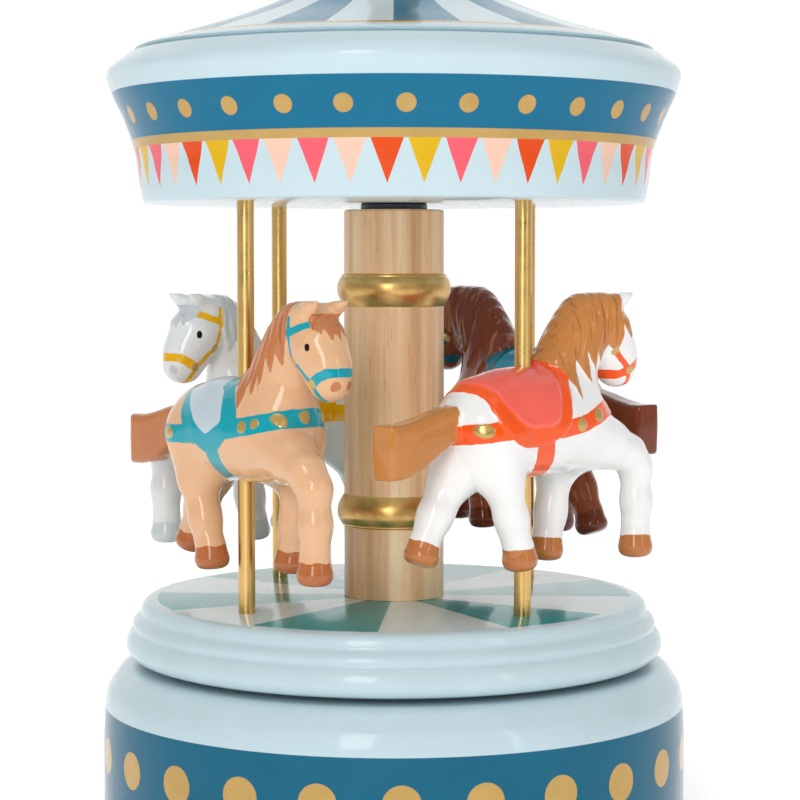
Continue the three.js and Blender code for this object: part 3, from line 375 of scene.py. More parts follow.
def roof_enamel():
    material, tree = new_finish("roof_enamel_sectors")
    angle, _, away = round_the_axis(tree)
    inner, outer = ROOF_STRIPES_R
    painted = reckon(tree, "MULTIPLY", below(tree, away, outer), reckon(tree, "GREATER_THAN", away, inner))
    stripe = reckon(tree, "MULTIPLY", painted, sector_mask(tree, angle, ROOF_SECTOR, 7.5))
    colour = paint_over(tree, stripe, enamel_shade(tree, PALE, 0.04), enamel_shade(tree, "#007A9C", 0.08))
    gild_and_close(tree, colour, between(tree, away, *ROOF_LINE_R))
    return material


print("sectors:", 360 / DECK_SECTOR, "on the turntable and", 360 / ROOF_SECTOR, "on the roof")

# %% [markdown]
# **Clear-varnished beech.** The column is beech turned on a lathe and varnished. Its grain
# runs up and down: bands a few millimetres wide, and inside them fine dark flecks, the rays,
# about 0.3 mm wide and several millimetres long, drawn here at 0.6 mm so that they show.
# The beads are bronze paint with metal powder in it, a little rougher than polished brass.

# %% Beech with bronze beads
BEAD_MIDDLES = (DECK_TOP + 19.4, DECK_TOP + 68.5)
BRONZE_HALF_H = 3.7  # the paint reaches this far above and below a bead's middle


def varnished_beech():
    material, tree = new_finish("varnished_beech_and_bronze_paint")
    _, z, _ = round_the_axis(tree)
    bands = mottle(tree, 3.4, (1, 1, 0.035), 5)
    grain = ramp_of(tree, bands, [(0.3, "#D9A876"), (0.5, "#F6CC9C"), (0.7, "#FFE6BE")])
    flecks = below(tree, mottle(tree, 0.6, (1, 1, 0.09), 2), 0.34, 0.05)
    timber = paint_over(tree, reckon(tree, "MULTIPLY", flecks, 0.4), grain, linear("#C9955E"))
    gilt = 0.0
    for middle in BEAD_MIDDLES:
        here = between(tree, z, middle - BRONZE_HALF_H, middle + BRONZE_HALF_H, 0.1)
        gilt = reckon(tree, "MAXIMUM", gilt, here)
    bronze = paint_over(tree, mottle(tree, 2.5, detail=4), linear("#C4964C"), linear("#F2CB82"))
    colour = paint_over(tree, gilt, timber, bronze)
    rough = put(tree, "Mix", {"data_type": "FLOAT"}, {0: gilt, 2: 0.42, 3: 0.33})
    close_finish(tree, {"Base Color": colour, "Roughness": rough, "IOR": 1.5, "Coat Weight": 0.25,
                        "Coat Roughness": 0.2, "Metallic": reckon(tree, "MULTIPLY", gilt, 0.9)},
                 bands, 0.05)
    return material


print("bead middles in mm:", [round(v, 1) for v in BEAD_MIDDLES])

# %% [markdown]
# **Metals.** The poles are drawn brass, so their polish lines run lengthwise. The movement has
# turned brass wheels, ground steel screws and arbors, a blued spring and a die-cast zinc bed
# with a faint grain. The finial's gold paint is so full of metal powder that it is shaded as
# metal too. Metals keep the default IOR, and only colour and roughness tell them apart.

# %% Brass, steel, spring steel, zinc and gold paint
def metal_finish(name, light, dark, rough, line_mm, stretch, depth_mm):
    """light and dark are the two shades of its lines, which are line_mm wide."""
    material, tree = new_finish(name)
    lines = mottle(tree, line_mm, stretch, 4)
    colour = paint_over(tree, lines, linear(dark), linear(light))
    uneven = put(tree, "MapRange", {},
                 {"Value": mottle(tree, 4), 1: 0.3, 2: 0.7, 3: rough - 0.05, 4: rough + 0.08})
    close_finish(tree, {"Base Color": colour, "Roughness": uneven, "Metallic": 1.0}, lines, depth_mm)
    return material


drawn_brass = metal_finish("drawn_brass", "#F3CC86", "#D4AA62", 0.3, 0.5, (1, 1, 0.02), 0.02)
turned_brass = metal_finish("turned_brass", "#D8B45E", "#B88F3C", 0.26, 0.35, (1, 1, 1.5), 0.01)
ground_steel = metal_finish("ground_steel", "#C9CCCF", "#A6A9AD", 0.3, 0.3, (1, 1, 1), 0.008)
spring_steel = metal_finish("blued_spring_steel", "#5B5E68", "#3D4048", 0.36, 0.4, (1, 1, 0.3), 0.01)
zinc_casting = metal_finish("die_cast_zinc", "#A0A4A8", "#858A8F", 0.5, 0.8, (1, 1, 1), 0.03)
gold_paint = metal_finish("gold_paint", "#D2AC5E", "#A98440", 0.34, 1.2, (1, 1, 1), 0.02)
metals = (drawn_brass, turned_brass, ground_steel, spring_steel, zinc_casting, gold_paint)
print("metals:", [m.name for m in metals])

# %% [markdown]
# **Hardboard cover.** The plate under the base is hardboard: wood fibre pressed under heat.
# Its face is smooth and brown, with tangled fibres about a millimetre long and 0.2 mm wide,
# drawn coarser here so that they show.

# %% Hardboard
def hardboard():
    material, tree = new_finish("hardboard")
    fibre = mottle(tree, 0.7, (1.6, 0.5, 1), 5)
    colour = paint_over(tree, fibre, linear("#8A6138"), linear("#C09568"))
    close_finish(tree, {"Base Color": colour, "Roughness": 0.72, "IOR": 1.5}, fibre, 0.06)
    return material


board = hardboard()
print("made", board.name)

# %% [markdown]
# Turned pieces have one outline that goes round an axis. It is made of corner points, of
# smooth curves through the points of one moulding, and of arcs.

# %% Curves for outlines
def smooth_through(points, steps=6):
    """Points on a smooth curve through the given ones."""
    p = [points[0]] + list(points) + [points[-1]]
    line = []
    for i in range(1, len(p) - 2):
        for s in range(steps):
            t = s / steps
            line.append(tuple(
                0.5 * (2 * b + (c - a) * t + (2 * a - 5 * b + 4 * c - d) * t**2
                       + (3 * b - a - 3 * c + d) * t**3)
                for a, b, c, d in zip(p[i - 1], p[i], p[i + 1], p[i + 2])
            ))
    return line + [tuple(points[-1])]


def rounded(r, z, radius, start, stop, steps=6):
    """Points of an arc round (r, z), from start to stop degrees."""
    turn = [math.radians(start + (stop - start) * i / steps) for i in range(steps + 1)]
    return [(r + radius * math.cos(a), z + radius * math.sin(a)) for a in turn]


print("points on a quarter round:", len(rounded(0, 0, 1, 0, 90)))

# %% [markdown]
# The outline is spun in 256 steps, fine enough that the edge of a 130 mm disc shows no
# corners. Edges sharper than 32 degrees stay sharp, and the rest is shaded smooth. A finished
# piece gets its material, rides on its body, and stands for the plain node it replaces.

# %% Lathe for turned pieces
CREASE = math.radians(32)


def spun(name, outline, centre=(0, 0), steps=256):
    """A solid turned from an outline of (radius, height) in mm; the outline closes itself."""
    points, faces, rows = [], [], []
    for r, z in outline:
        if r < 1e-6:
            rows.append([len(points)] * steps)
            points.append((centre[0] / 1000, centre[1] / 1000, z / 1000))
            continue
        rows.append(list(range(len(points), len(points) + steps)))
        for k in range(steps):
            a = 2 * math.pi * k / steps
            x, y = centre[0] + r * math.cos(a), centre[1] + r * math.sin(a)
            points.append((x / 1000, y / 1000, z / 1000))
    for low, high in zip(rows, rows[1:] + rows[:1]):
        for k in range(steps):
            n = (k + 1) % steps
            ring = [low[k], low[n], high[n], high[k]]
            face = [v for i, v in enumerate(ring) if v not in ring[:i]]
            if len(face) > 2:
                faces.append(face)
    mesh = bpy.data.meshes.new(name)
    mesh.from_pydata(points, [], faces)
    mesh.polygons.foreach_set("use_smooth", [True] * len(mesh.polygons))
    mesh.set_sharp_from_angle(angle=CREASE)
    piece = bpy.data.objects.new(name, mesh)
    scene.collection.objects.link(piece)
    return piece


def fit(piece, body, material, node):
    """Paints a piece, lets it ride on its body and stand for the plain node."""
    piece.data.materials.clear()
    piece.data.materials.append(material)
    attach(piece, body)
    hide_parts(node)
    print(piece.name, "has", len(piece.data.polygons), "faces")


# %% [markdown]
# **Base.** A turned block of lime wood, hollow from below. Its top edge falls away in a long
# soft shoulder. Inside are a wide well for the key and the cover, and the room for the movement.

# %% Base
SPINDLE_HOLE_R = 5.6
CAVITY_R, CAVITY_TOP = 47, 35
WELL_R, WELL_TOP = 52, 14

shoulder = smooth_through([(65, 24), (64.7, 30), (64.4, 33), (63.8, 35.1), (62.7, 36.9), (61.4, 38.6),
                           (60.2, 39.5), (58.6, 39.95), (56.6, BASE_TOP)])
base = spun("base_turned", [(63.5, 0)] + rounded(63.5, 1.5, 1.5, -80, 0) + shoulder + [
    (SPINDLE_HOLE_R, BASE_TOP), (SPINDLE_HOLE_R, CAVITY_TOP), (CAVITY_R, CAVITY_TOP),
    (CAVITY_R, WELL_TOP), (WELL_R, WELL_TOP), (WELL_R, 0.4), (52.4, 0)])
fit(base, "base", base_enamel(), "base_housing")

# %% [markdown]
# **Turntable.** Its side is one soft moulding: a broad bulge at the foot, a shallow groove, a
# narrower bulge, and a small step up to the rounded rim of the painted disc. Below are a
# recess for the drive plate and a pocket for the head of the tie rod.

# %% Turntable
TIE_BORE_R = 1.65  # the tie rod runs from here up into the canopy
POCKET_R, POCKET_TOP = 3.4, 46.4
RECESS_R, RECESS_TOP = 16.3, 43.2
FOOT_BULGE = [(56.7, 0), (58.4, 0.6), (59.5, 1.8), (59.9, 3.2), (59.6, 4.8), (58.9, 5.9)]
UPPER_SIDE = [(58.3, -6.5), (58.25, -6.0), (58.4, -5.3), (58.1, -4.5), (57.4, -3.8), (56.8, -3.3),
              (56.55, -2.8), (56.5, -2.2), (56.2, -1.2), (55.4, -0.4), (54.0, 0)]

side = smooth_through([(r, DECK_FOOT + h) for r, h in FOOT_BULGE]
                      + [(r, DECK_TOP + h) for r, h in UPPER_SIDE], 4)
turntable = spun("turntable_turned", side + [
    (TIE_BORE_R, DECK_TOP), (TIE_BORE_R, POCKET_TOP), (POCKET_R, POCKET_TOP),
    (POCKET_R, RECESS_TOP), (RECESS_R, RECESS_TOP), (RECESS_R, DECK_FOOT)])
fit(turntable, "carousel", turntable_enamel(), "deck")

# %% [markdown]
# **Column.** A beech turning with two beads, painted bronze. Each bead is a soft bulge with a
# small step on one side: below the lower bead and above the upper one. The dark steel washer
# on top spaces the column off the canopy.

# %% Column and washer
COLUMN_TOP = heights_of("column")[1]
COLUMN_R = 11.15
WASHER_R = 7.4
BEAD = [(COLUMN_R, -3.6), (11.5, -3.1), (11.9, -2.4), (12.35, -1.5), (12.62, -0.6), (12.7, 0.4),
        (12.6, 1.4), (12.3, 2.2), (11.95, 2.75), (11.75, 2.95), (11.7, 3.3), (11.45, 3.5),
        (COLUMN_R, 3.6)]


def bead(middle, upside=1):
    """One bead's outline, upwards; upside -1 turns it over."""
    return smooth_through([(r, middle + upside * h) for r, h in BEAD[::upside]], 4)


lower, upper = BEAD_MIDDLES
column_side = [(11.0, DECK_TOP), (COLUMN_R, DECK_TOP + 0.15)] + bead(lower, -1) + bead(upper)
column = spun("column_turned", column_side + [
    (COLUMN_R, COLUMN_TOP - 0.4), (10.8, COLUMN_TOP),
    (TIE_BORE_R, COLUMN_TOP), (TIE_BORE_R, DECK_TOP)], steps=160)
fit(column, "carousel", varnished_beech(), "column")
washer = spun("spacer_washer_turned", [
    (7.1, COLUMN_TOP), (WASHER_R, COLUMN_TOP + 0.3), (WASHER_R, CANOPY_FOOT - 0.3),
    (7.1, CANOPY_FOOT), (TIE_BORE_R, CANOPY_FOOT), (TIE_BORE_R, COLUMN_TOP)], steps=96)
fit(washer, "carousel", spring_steel, "spacer_washer")

# %% [markdown]
# **Canopy.** The side rises almost straight past the pennants, flares out through the blue
# band, and turns in over a thick rounded rim. It is hollow on top, under the roof.

# %% Canopy
HOLLOW_R = 47.5
CANOPY_FLOOR = 7
FLARE = [(55.0, 0), (55.4, 0.25), (55.75, 1), (56.35, 3.8), (56.7, 6.4), (56.95, 9.1), (57.3, 10.8),
         (57.75, 12.6),
         (58.25, 14.4), (58.9, 16.1), (59.6, 17.9), (60.35, 19.6), (61.2, 21.4), (62.0, 23.2), (62.65, 24.9),
         (63.1, 26.4), (63.35, 27.6), (63.2, 28.5), (62.6, 29.4), (61.4, 30.4), (60.0, 31.4), (58.9, 32.2),
         (57.9, 32.6)]

canopy_side = smooth_through([(r, CANOPY_FOOT + h) for r, h in FLARE], 4)
canopy = spun("canopy_turned", [(TIE_BORE_R, CANOPY_FOOT)] + canopy_side + [
    (HOLLOW_R, CANOPY_TOP), (HOLLOW_R, CANOPY_FOOT + CANOPY_FLOOR),
    (TIE_BORE_R, CANOPY_FOOT + CANOPY_FLOOR)])
fit(canopy, "carousel", canopy_enamel(), "canopy_drum")

# %% [markdown]
# **Roof and finial.** The roof is a shallow cone with a slightly hollow slope, made as its own
# turning that drops into the canopy. A gold ball on a collar closes it, held by a peg.

# %% Roof and finial
ROOF_FOOT, ROOF_TOP = CANOPY_TOP, heights_of("roof")[1]
BALL_R = 7
BALL_MIDDLE = ROOF_TOP + 8.3
SLOPE = [(56.6, 0.35), (57, 0.7), (56.4, 1.3), (48, 3.9), (35.3, 7.9), (24, 12.6), (17.1, 16.8), (11, 21.6)]

slope = smooth_through([(r, ROOF_FOOT + h) for r, h in SLOPE] + [(7.6, ROOF_TOP - 0.5), (6.6, ROOF_TOP)])
roof = spun("roof_turned", [(47.2, ROOF_FOOT - 3), (47.2, ROOF_FOOT), (56.2, ROOF_FOOT)] + slope + [
    (2.65, ROOF_TOP), (2.65, ROOF_TOP - 6.5), (0, ROOF_TOP - 6.5), (0, ROOF_TOP - 12),
    (17.1, ROOF_FOOT + 8.8), (41.2, ROOF_FOOT - 3)])
fit(roof, "carousel", roof_enamel(), "roof")

peg = [(0, ROOF_TOP - 6), (2.5, ROOF_TOP - 6), (2.5, ROOF_TOP), (4.7, ROOF_TOP)]
collar = rounded(4.4, ROOF_TOP + 0.7, 0.7, -60, 90, 8) + [(3.5, ROOF_TOP + 1.5), (3.2, ROOF_TOP + 1.9)]
ball = rounded(0, BALL_MIDDLE, BALL_R, -62, 89, 30) + [(0, BALL_MIDDLE + BALL_R)]
finial = spun("finial_turned", peg + collar + ball, steps=96)
fit(finial, "carousel", gold_paint, "finial")

# %% [markdown]
# **Poles.** Drawn brass rod 3.6 mm thick, with its ends eased by 0.2 mm. Each is let into the
# turntable and the canopy.

# %% Poles
POLE_R, POLE_END_R = 1.8, 1.6

pole_places = []
for k in range(1, 5):
    low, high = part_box(f"pole_{k}")
    centre = (500 * (low.x + high.x), 500 * (low.y + high.y))
    pole_places.append(centre)
    foot, head = heights_of(f"pole_{k}")
    rod = [(0, foot), (POLE_END_R, foot), (POLE_R, foot + 0.2),
           (POLE_R, head - 0.2), (POLE_END_R, head), (0, head)]
    pole = spun(f"pole_{k}_drawn", rod, centre, steps=48)
    fit(pole, "carousel", drawn_brass, f"pole_{k}")

# %% [markdown]
# **Horses.** All four have one body, in two sets of tack. A horse is soft rounded limbs that
# flow into one another, which is hard to do with boxes and easy with a distance field: each
# limb is a run of balls, the runs are blended where they meet, and the surface is where the
# distance is zero.

# %% Distance to a limb, and soft joins
def blend_join(a, b, k):
    """Keeps what is inside either, with a soft join k wide."""
    h = np.clip(0.5 + 0.5 * (b - a) / k, 0, 1)
    return b * (1 - h) + a * h - k * h * (1 - h)


def blend_cut(a, b, k):
    """Keeps what is inside both."""
    return -blend_join(-a, -b, k)


def run(x, y, z, beads, squeeze=1.0, soft=1.2):
    """Distance to a chain of balls (x, y, z, radius); squeeze above 1 makes it narrower."""
    best = None
    for (ax, ay, az, ar), (bx, by, bz, br) in zip(beads, beads[1:]):
        my = y * squeeze
        ey, wy = (by - ay) * squeeze, my - ay * squeeze
        ex, ez, wx, wz = bx - ax, bz - az, x - ax, z - az
        t = np.clip((wx * ex + wy * ey + wz * ez) / (ex * ex + ey * ey + ez * ez), 0, 1)
        d = np.sqrt((wx - ex * t) ** 2 + (wy - ey * t) ** 2 + (wz - ez * t) ** 2) - (ar + (br - ar) * t)
        best = d if best is None else blend_join(best, d, soft)
    return best


# %% [markdown]
# The tail, the tack and the mane are drawn as outlines seen from the side, the way a mould
# maker lays them out. Two helpers give the distance to a closed outline and to a strap, and
# the same distances then serve for shape, for relief and for paint.

# %% Distance to outlines and straps in the side view
def along_edge(a, b, u, v):
    """Distance squared to the line from a to b."""
    ex, ey, wx, wy = b[0] - a[0], b[1] - a[1], u - a[0], v - a[1]
    t = np.clip((wx * ex + wy * ey) / (ex * ex + ey * ey + 1e-9), 0, 1)
    return (wx - ex * t) ** 2 + (wy - ey * t) ** 2


def inside_outline(points, u, v):
    """Distance to a closed outline, negative inside."""
    nearest, within = np.full(u.shape, 1e6, np.float32), np.zeros(u.shape, bool)
    for a, b in zip(points, points[1:] + points[:1]):
        nearest = np.minimum(nearest, along_edge(a, b, u, v))
        if a[1] != b[1]:
            crossing = (b[0] - a[0]) * (v - a[1]) / (b[1] - a[1]) + a[0]
            within ^= ((a[1] > v) != (b[1] > v)) & (u < crossing)
    return np.where(within, -1, 1) * np.sqrt(nearest)


def nearest_of(*distances):
    return np.minimum.reduce(distances)


def strap(points, half, u, v):
    """Distance to the edge of a strap along points; half is half its width."""
    return nearest_of(*(np.sqrt(along_edge(a, b, u, v)) for a, b in zip(points, points[1:]))) - half


square = [(0, 0), (4, 0), (4, 4), (0, 4)]
print("middle of a 4 mm square:", inside_outline(square, *np.full((2, 1), 2.0, np.float32)), "mm")

# %% [markdown]
# The body is measured in millimetres from the foot of its pole: x forward, y to its left, z
# up from the turntable. First the tail and the legs. The tail is a flat brush, and each leg
# ends in a flared hoof that is cut off square to the leg.

# %% Tail and legs
TAIL = [(-18, 44), (-23, 44.1), (-27, 43.1), (-31, 42), (-35, 41.2), (-39.4, 41.1), (-39.5, 36),
        (-39.3, 30.3),
        (-36, 30.4), (-33, 31.0), (-29.5, 32.6), (-26, 34.8), (-22, 37.4), (-18, 38.4)]
TAIL_HALF_T = 3.0
TAIL_ROUND = 1.3
# each hoof's middle, how far its leg leans in radians, and the height of its sole
HOOVES = [(28.9, -5.0, 0.0, 9.5), (10.3, 3.8, 0.06, 9.5), (-6.0, -5.0, -0.1, 9.5), (-25.4, 3.9, 0.38, 11.1)]
LEGS = [
    [(12.5, -4.0, 39, 5.4), (20.5, -4.6, 35.4, 4.4), (26.0, -5, 32.7, 3.8), (28.8, -5, 29.4, 3.4),
     (29.1, -5, 22, 3.2), (28.9, -5, 13, 3.2)],
    [(13.4, 3.2, 38, 5.0), (12.8, 3.7, 29, 3.9), (11.6, 3.8, 20, 3.3), (10.5, 3.8, 13, 3.2)],
    [(-13.4, -4.0, 38, 6.1), (-11.0, -4.8, 29, 4.3), (-8.4, -5, 20.5, 3.3), (-6.4, -5, 13.5, 3.2)],
    [(-14, 3.8, 38, 6.1), (-17.4, 3.8, 29, 4.6), (-21.8, 3.8, 21.6, 3.5), (-24.7, 3.9, 16, 3.2)],
]


def tail_of(x, y, z):
    along = inside_outline(TAIL, x, z) + TAIL_ROUND
    across = np.abs(y) - TAIL_HALF_T + TAIL_ROUND + 0.03 * (x + 30)
    corner = np.hypot(np.maximum(along, 0), np.maximum(across, 0))
    return np.minimum(np.maximum(along, across), 0) + corner - TAIL_ROUND


def legs_of(x, y, z):
    legs = None
    for beads, (hx, hy, lean, sole) in zip(LEGS, HOOVES):
        leg = run(x, y, z, beads, 1.0, 2.0)
        hoof = run(x, y, z, [(hx + 1.6 * lean, hy, sole + 4.8, 3.1), (hx, hy, sole + 2.6, 3.8)])
        leg = blend_join(leg, hoof, 0.7)
        under = (hx - x) * math.sin(lean) + (sole - z) * math.cos(lean)
        leg = blend_cut(leg, under, 1.3)
        legs = leg if legs is None else np.minimum(legs, leg)
    return legs


print("legs:", len(LEGS), "and tail outline points:", len(TAIL))

# %% [markdown]
# Then the head and the rest. Large masses get wide joins, so the neck melts into the chest,
# and small ones get narrow joins, so the ears and the jaw stay crisp.

# %% Head and body
SKULL = [(22.0, 0, 62.2, 4.9), (24.5, 0, 58.2, 5.4), (27.0, 0, 54.0, 4.7), (28.4, 0, 50.9, 3.9)]
JAW = [(22.4, 0, 56.8, 4.6), (26.7, 0, 50.4, 3.3)]
EAR = [(22.2, 2.8, 64.4, 2.3), (26.2, 3.6, 66.5, 1.3), (29.4, 4.2, 68.2, 0.35)]
BARREL = [(-12.8, 0, 40.5, 8.7), (-5, 0, 40.1, 9.7), (5.5, 0, 40.2, 9.9), (11.6, 0, 41.8, 8.1)]
BELLY = [(-14.6, 0, 33.4, 6.0), (0, 0, 38, 7.0), (13.5, -0.5, 35.6, 6.3), (20.5, -2.5, 33.8, 4.2)]
NECK = [(10.3, 0, 45.0, 8.7), (12.7, 0, 52.0, 6.6), (15.3, 0, 57.3, 5.7), (18.0, 0, 60.9, 5.2),
        (21.6, 0, 61.7, 4.6)]


def head_of(x, y, z):
    head = blend_join(run(x, y, z, SKULL, 1.0, 2.0), run(x, y, z, JAW, 0.95), 1.5)
    return blend_join(head, run(x, np.abs(y), z, EAR), 1.4)


def horse_body(x, y, z):
    body = blend_join(run(x, y, z, BARREL, 1.02, 5), run(x, y, z, BELLY, 1.0, 4), 3.0)
    body = blend_join(body, run(x, y, z, NECK, 1.2, 3), 4.0)
    body = blend_join(body, head_of(x, y, z), 2.2)
    body = blend_join(body, legs_of(x, y, z), 4.0)
    return blend_join(body, tail_of(x, y, z), 1.6)


print("neck beads:", len(NECK))

# %% [markdown]
# There are two sets of tack. The wide set is moulded: its saddle cloth, seat and straps stand
# a few tenths of a millimetre proud, with a full mane. The slim set is only painted on, apart
# from its studs, with a short mane. Both are outlines, straps and studs in the side view.

# %% Outlines of saddles and manes
WIDE_CLOTH = [(6, 56), (6.6, 51), (5.2, 48), (3.8, 44.6), (2.9, 41), (0.6, 37.8), (-4.6, 36.0), (-9.6, 35.9),
              (-13.0, 37.6), (-15.6, 40.4), (-16.6, 43), (-17.4, 46.4), (-19.6, 47.6), (-22.4, 48.6),
              (-22.8, 56)]
WIDE_SEAT = [(2.0, 56), (2.8, 50.6), (1.6, 47.9), (0.4, 44.7), (-0.8, 41.4), (-3.2, 40.1), (-9.0, 40.2),
             (-12.0, 42.0), (-13.9, 44.6), (-14.7, 46.8), (-15.6, 48.4), (-18.4, 49.5), (-20.4, 51),
             (-20.4, 56)]
SLIM_CLOTH = [(3.4, 56), (4.6, 50), (6.8, 47.6), (8.6, 45.2), (9.2, 42), (7.0, 39.1), (3.9, 36.6),
              (0.8, 35.2),
              (-2.0, 35.3), (-4.0, 36.5), (-6.9, 39.0), (-9.2, 41.1), (-10.9, 43.6), (-12.0, 45.8),
              (-13.8, 48.2),
              (-14.4, 56)]
SLIM_SEAT = [(-1.6, 56), (-0.4, 49.8), (2.0, 48), (3.8, 45.6), (4.7, 43.0), (4.2, 41.7), (2.0, 40.5),
             (-0.2, 39.4),
             (-1.2, 39.5), (-3.8, 41.2), (-6.4, 43.6), (-9.2, 46.2), (-11, 48.2), (-12, 56)]
FULL_MANE = [(24.2, 70), (24.0, 64), (25.2, 62.6), (26.7, 61.8), (26.6, 59.9), (26.0, 57.9), (25.0, 59.4),
             (24.3, 61.2), (23.6, 58.6), (22.9, 56.4), (21.9, 55.0), (20.9, 55.8), (20.1, 56.6),
             (19.1, 54.4),
             (18.0, 52.2), (17.1, 53.8), (16.5, 55.5), (16.0, 53.2), (15.4, 51.1), (14.0, 53.2),
             (12.8, 55.2),
             (13.2, 51.8), (13.0, 48.2), (11.0, 50.8), (9.6, 53.8), (8.8, 49.2), (7.7, 44.8), (6.8, 48.2),
             (5.4, 51.4), (3.0, 53.0), (-1.5, 53.6), (1, 60), (8, 70)]
SHORT_MANE = [(20.4, 70), (20.2, 60), (19.4, 57.3), (18.4, 53.7), (17.4, 55.4), (16.6, 57.0), (16.2, 54.6),
              (15.6, 52.0), (14.6, 54.4), (13.8, 56.4), (13.5, 52.4), (13.0, 48.8), (12.3, 50.8),
              (11.7, 52.8),
              (11.7, 50), (11.7, 47.2), (10.5, 49), (9.4, 51.0), (9.5, 47.6), (9.3, 44.4), (7.8, 46.6),
              (6.3, 48.8), (3.8, 51.2), (0, 54), (3, 62), (9, 70)]
CREST = [(16.2, 64.0), (11.6, 60.0), (7.2, 53.4), (0, 52), (1, 66), (12, 71), (24, 71), (21, 66)]
FRINGE = [(-3.9, 64.9), (-4.1, 61.8), (-3.2, 60.6), (-2.5, 62.2), (-1.4, 59.3), (-0.4, 61.2), (0.8, 59.4),
          (1.6, 61.6), (2.7, 60.0), (3.9, 62.2), (3.9, 64.9)]
print("mane outline points:", len(FULL_MANE), "full and", len(SHORT_MANE), "short")

# %% [markdown]
# Each strap is its middle line and half its width. The bridle's straps meet at two knobs, at
# the cheek and at the bit. Studs are a place and a radius, along the straps at the side.

# %% Two sets of tack
CHEEK_KNOB, BIT_KNOB = (22.3, 55.0), (27.4, 50.6)
BRIDLE = [
    ([(20.6, 60.9), (23.4, 61.8), (27.0, 63.2), (32, 64)], 0.8),
    ([CHEEK_KNOB, BIT_KNOB], 0.62),
    ([BIT_KNOB, (29.2, 51.9), (31, 52.9), (35, 53.2)], 0.95),
    ([(27.4, 50.4), (28.6, 46)], 0.6),
]
WIDE = {
    "name": "wide saddle", "moulded": True, "mane": FULL_MANE, "eye_height": 58.6,
    "cloth": smooth_through(WIDE_CLOTH, 4),
    "seat": smooth_through(WIDE_SEAT, 4),
    "rear": [(-30, 37.0), (-24, 37.9), (-20, 38.9), (-15, 39.6), (-10, 40.0)],
    "breast": ([(1, 39.1), (8.2, 40.3), (15, 42.7), (20, 43.6), (30, 43.6)], 1.8),
    "girth": [(-3.9, 38), (-2.6, 34), (0.0, 28)],
    "studs": [(-18.8, 39.6, 1.5), (6.2, 40.0, 1.45), (12.0, 41.8, 1.45)],
    "bridle": BRIDLE + [([(23.9, 64), (23.8, 59), (22.7, 55.2)], 0.48),
                        ([BIT_KNOB, (24.6, 49.6), (21, 49.9)], 0.95)],
}
SLIM = {
    "name": "slim saddle", "moulded": False, "mane": SHORT_MANE, "eye_height": 58.2,
    "cloth": smooth_through(SLIM_CLOTH, 4),
    "seat": smooth_through(SLIM_SEAT, 4),
    "rear": [(-30, 38.7), (-14, 38.7), (-5, 38.9)],
    "breast": ([(6, 40.4), (14.5, 41.9), (19.8, 43.2), (30, 43.4)], 1.95),
    "girth": [(0.9, 37), (0.4, 34), (0.2, 28)],
    "studs": [(-13.6, 38.9, 1.35), (11.4, 41.3, 1.25), (14.6, 42.1, 1.0)],
    "bridle": BRIDLE + [([(20.8, 64), (20.7, 60), (21.9, 55.2)], 0.48)],
}
print("bridle straps:", len(WIDE["bridle"]), "and", len(SLIM["bridle"]))

# %% [markdown]
# Each painted part is a distance that is negative on the part. A side-view outline would go
# right through the horse, so a part that belongs to one region is also limited to it: a
# distance of 9 mm, which is far off, stands for everywhere else.

# %% Distances to the painted parts
FAR = 9.0
FRONT_STUDS = [(-6.0, 42.9), (-0.6, 43.4), (6.0, 42.9)]


def only_where(region, distance):
    return np.maximum(distance, np.where(region, -FAR, FAR))


def studs_of(x, y, z, tack):
    sides = nearest_of(*(np.hypot(x - a, z - b) - r for a, b, r in tack["studs"]))
    front = nearest_of(*(np.hypot(y - a, z - b) for a, b in FRONT_STUDS)) - 1.35
    knobs = nearest_of(*(np.hypot(x - a, z - b) for a, b in (CHEEK_KNOB, BIT_KNOB))) - 0.95
    return nearest_of(sides, np.where(x > 12.0, front, FAR), only_where(x > 19.0, knobs))


def hooves_of(x, y, z):
    """Distance to the hooves, whose upper edge is slightly wavy."""
    hoof = np.full(x.shape, FAR, np.float32)
    for hx, hy, lean, sole in HOOVES:
        near = np.hypot(x - hx, y - hy) < 6.5
        wave = 0.16 * np.sin(1.1 * (x - hx) + 1.3 * y + hx)
        edge = (z - sole - 5.1) * math.cos(lean) + (x - hx) * math.sin(lean) + wave
        hoof = np.where(near, np.minimum(hoof, edge), hoof)
    return hoof


def painted_parts(x, y, z, tack):
    """Distances in mm to each painted part of a horse, negative on the part."""
    cloth = inside_outline(tack["cloth"], x, z)
    straps = nearest_of(only_where(z > 27, strap(tack["rear"], 2.0, x, z)),
                        strap(*tack["breast"], x, z),
                        np.maximum(strap(tack["girth"], 2.3, x, z), 27.5 - z))
    bridle = nearest_of(*(strap(*line, x, z) for line in tack["bridle"]))
    eye = 0.75 * (np.hypot((x - 26.9) / 0.58, (z - tack["eye_height"]) / 0.9) - 1)
    nostril = np.hypot(np.abs(y) - 1.75, (z - 50.2) * 0.9) - 0.95
    return {
        "cloth": cloth,
        "straps": straps,
        "tack": nearest_of(cloth, straps, only_where(x > 19.0, bridle)),
        "seat": np.maximum(inside_outline(tack["seat"], x, z), cloth + 0.7),
        "stud": studs_of(x, y, z, tack),
        "mane": np.maximum(inside_outline(tack["mane"], x, z), 43 - z),
        "lock": np.maximum(inside_outline(FRINGE, y, z), 24.8 - x),
        "tail": np.maximum(tail_of(x, y, z) - 0.45, x + 19.4),
        "hoof": hooves_of(x, y, z),
        "eye": np.where((np.abs(y) > 2.4) & (x > 23), eye, FAR),
        "nostril": np.where(x > 28.5, nostril, FAR),
    }


# %% [markdown]
# Relief is added to the field only near the surface, where it matters. The mane also gets
# fine grooves between its locks, and the moulded set gets its saddle, straps and crest. The
# tips of the ears are softly cut off at one height.

# %% Relief
EAR_TIP = 67.6
CLOTH_RAISE, SEAT_RAISE = 0.55, 0.45


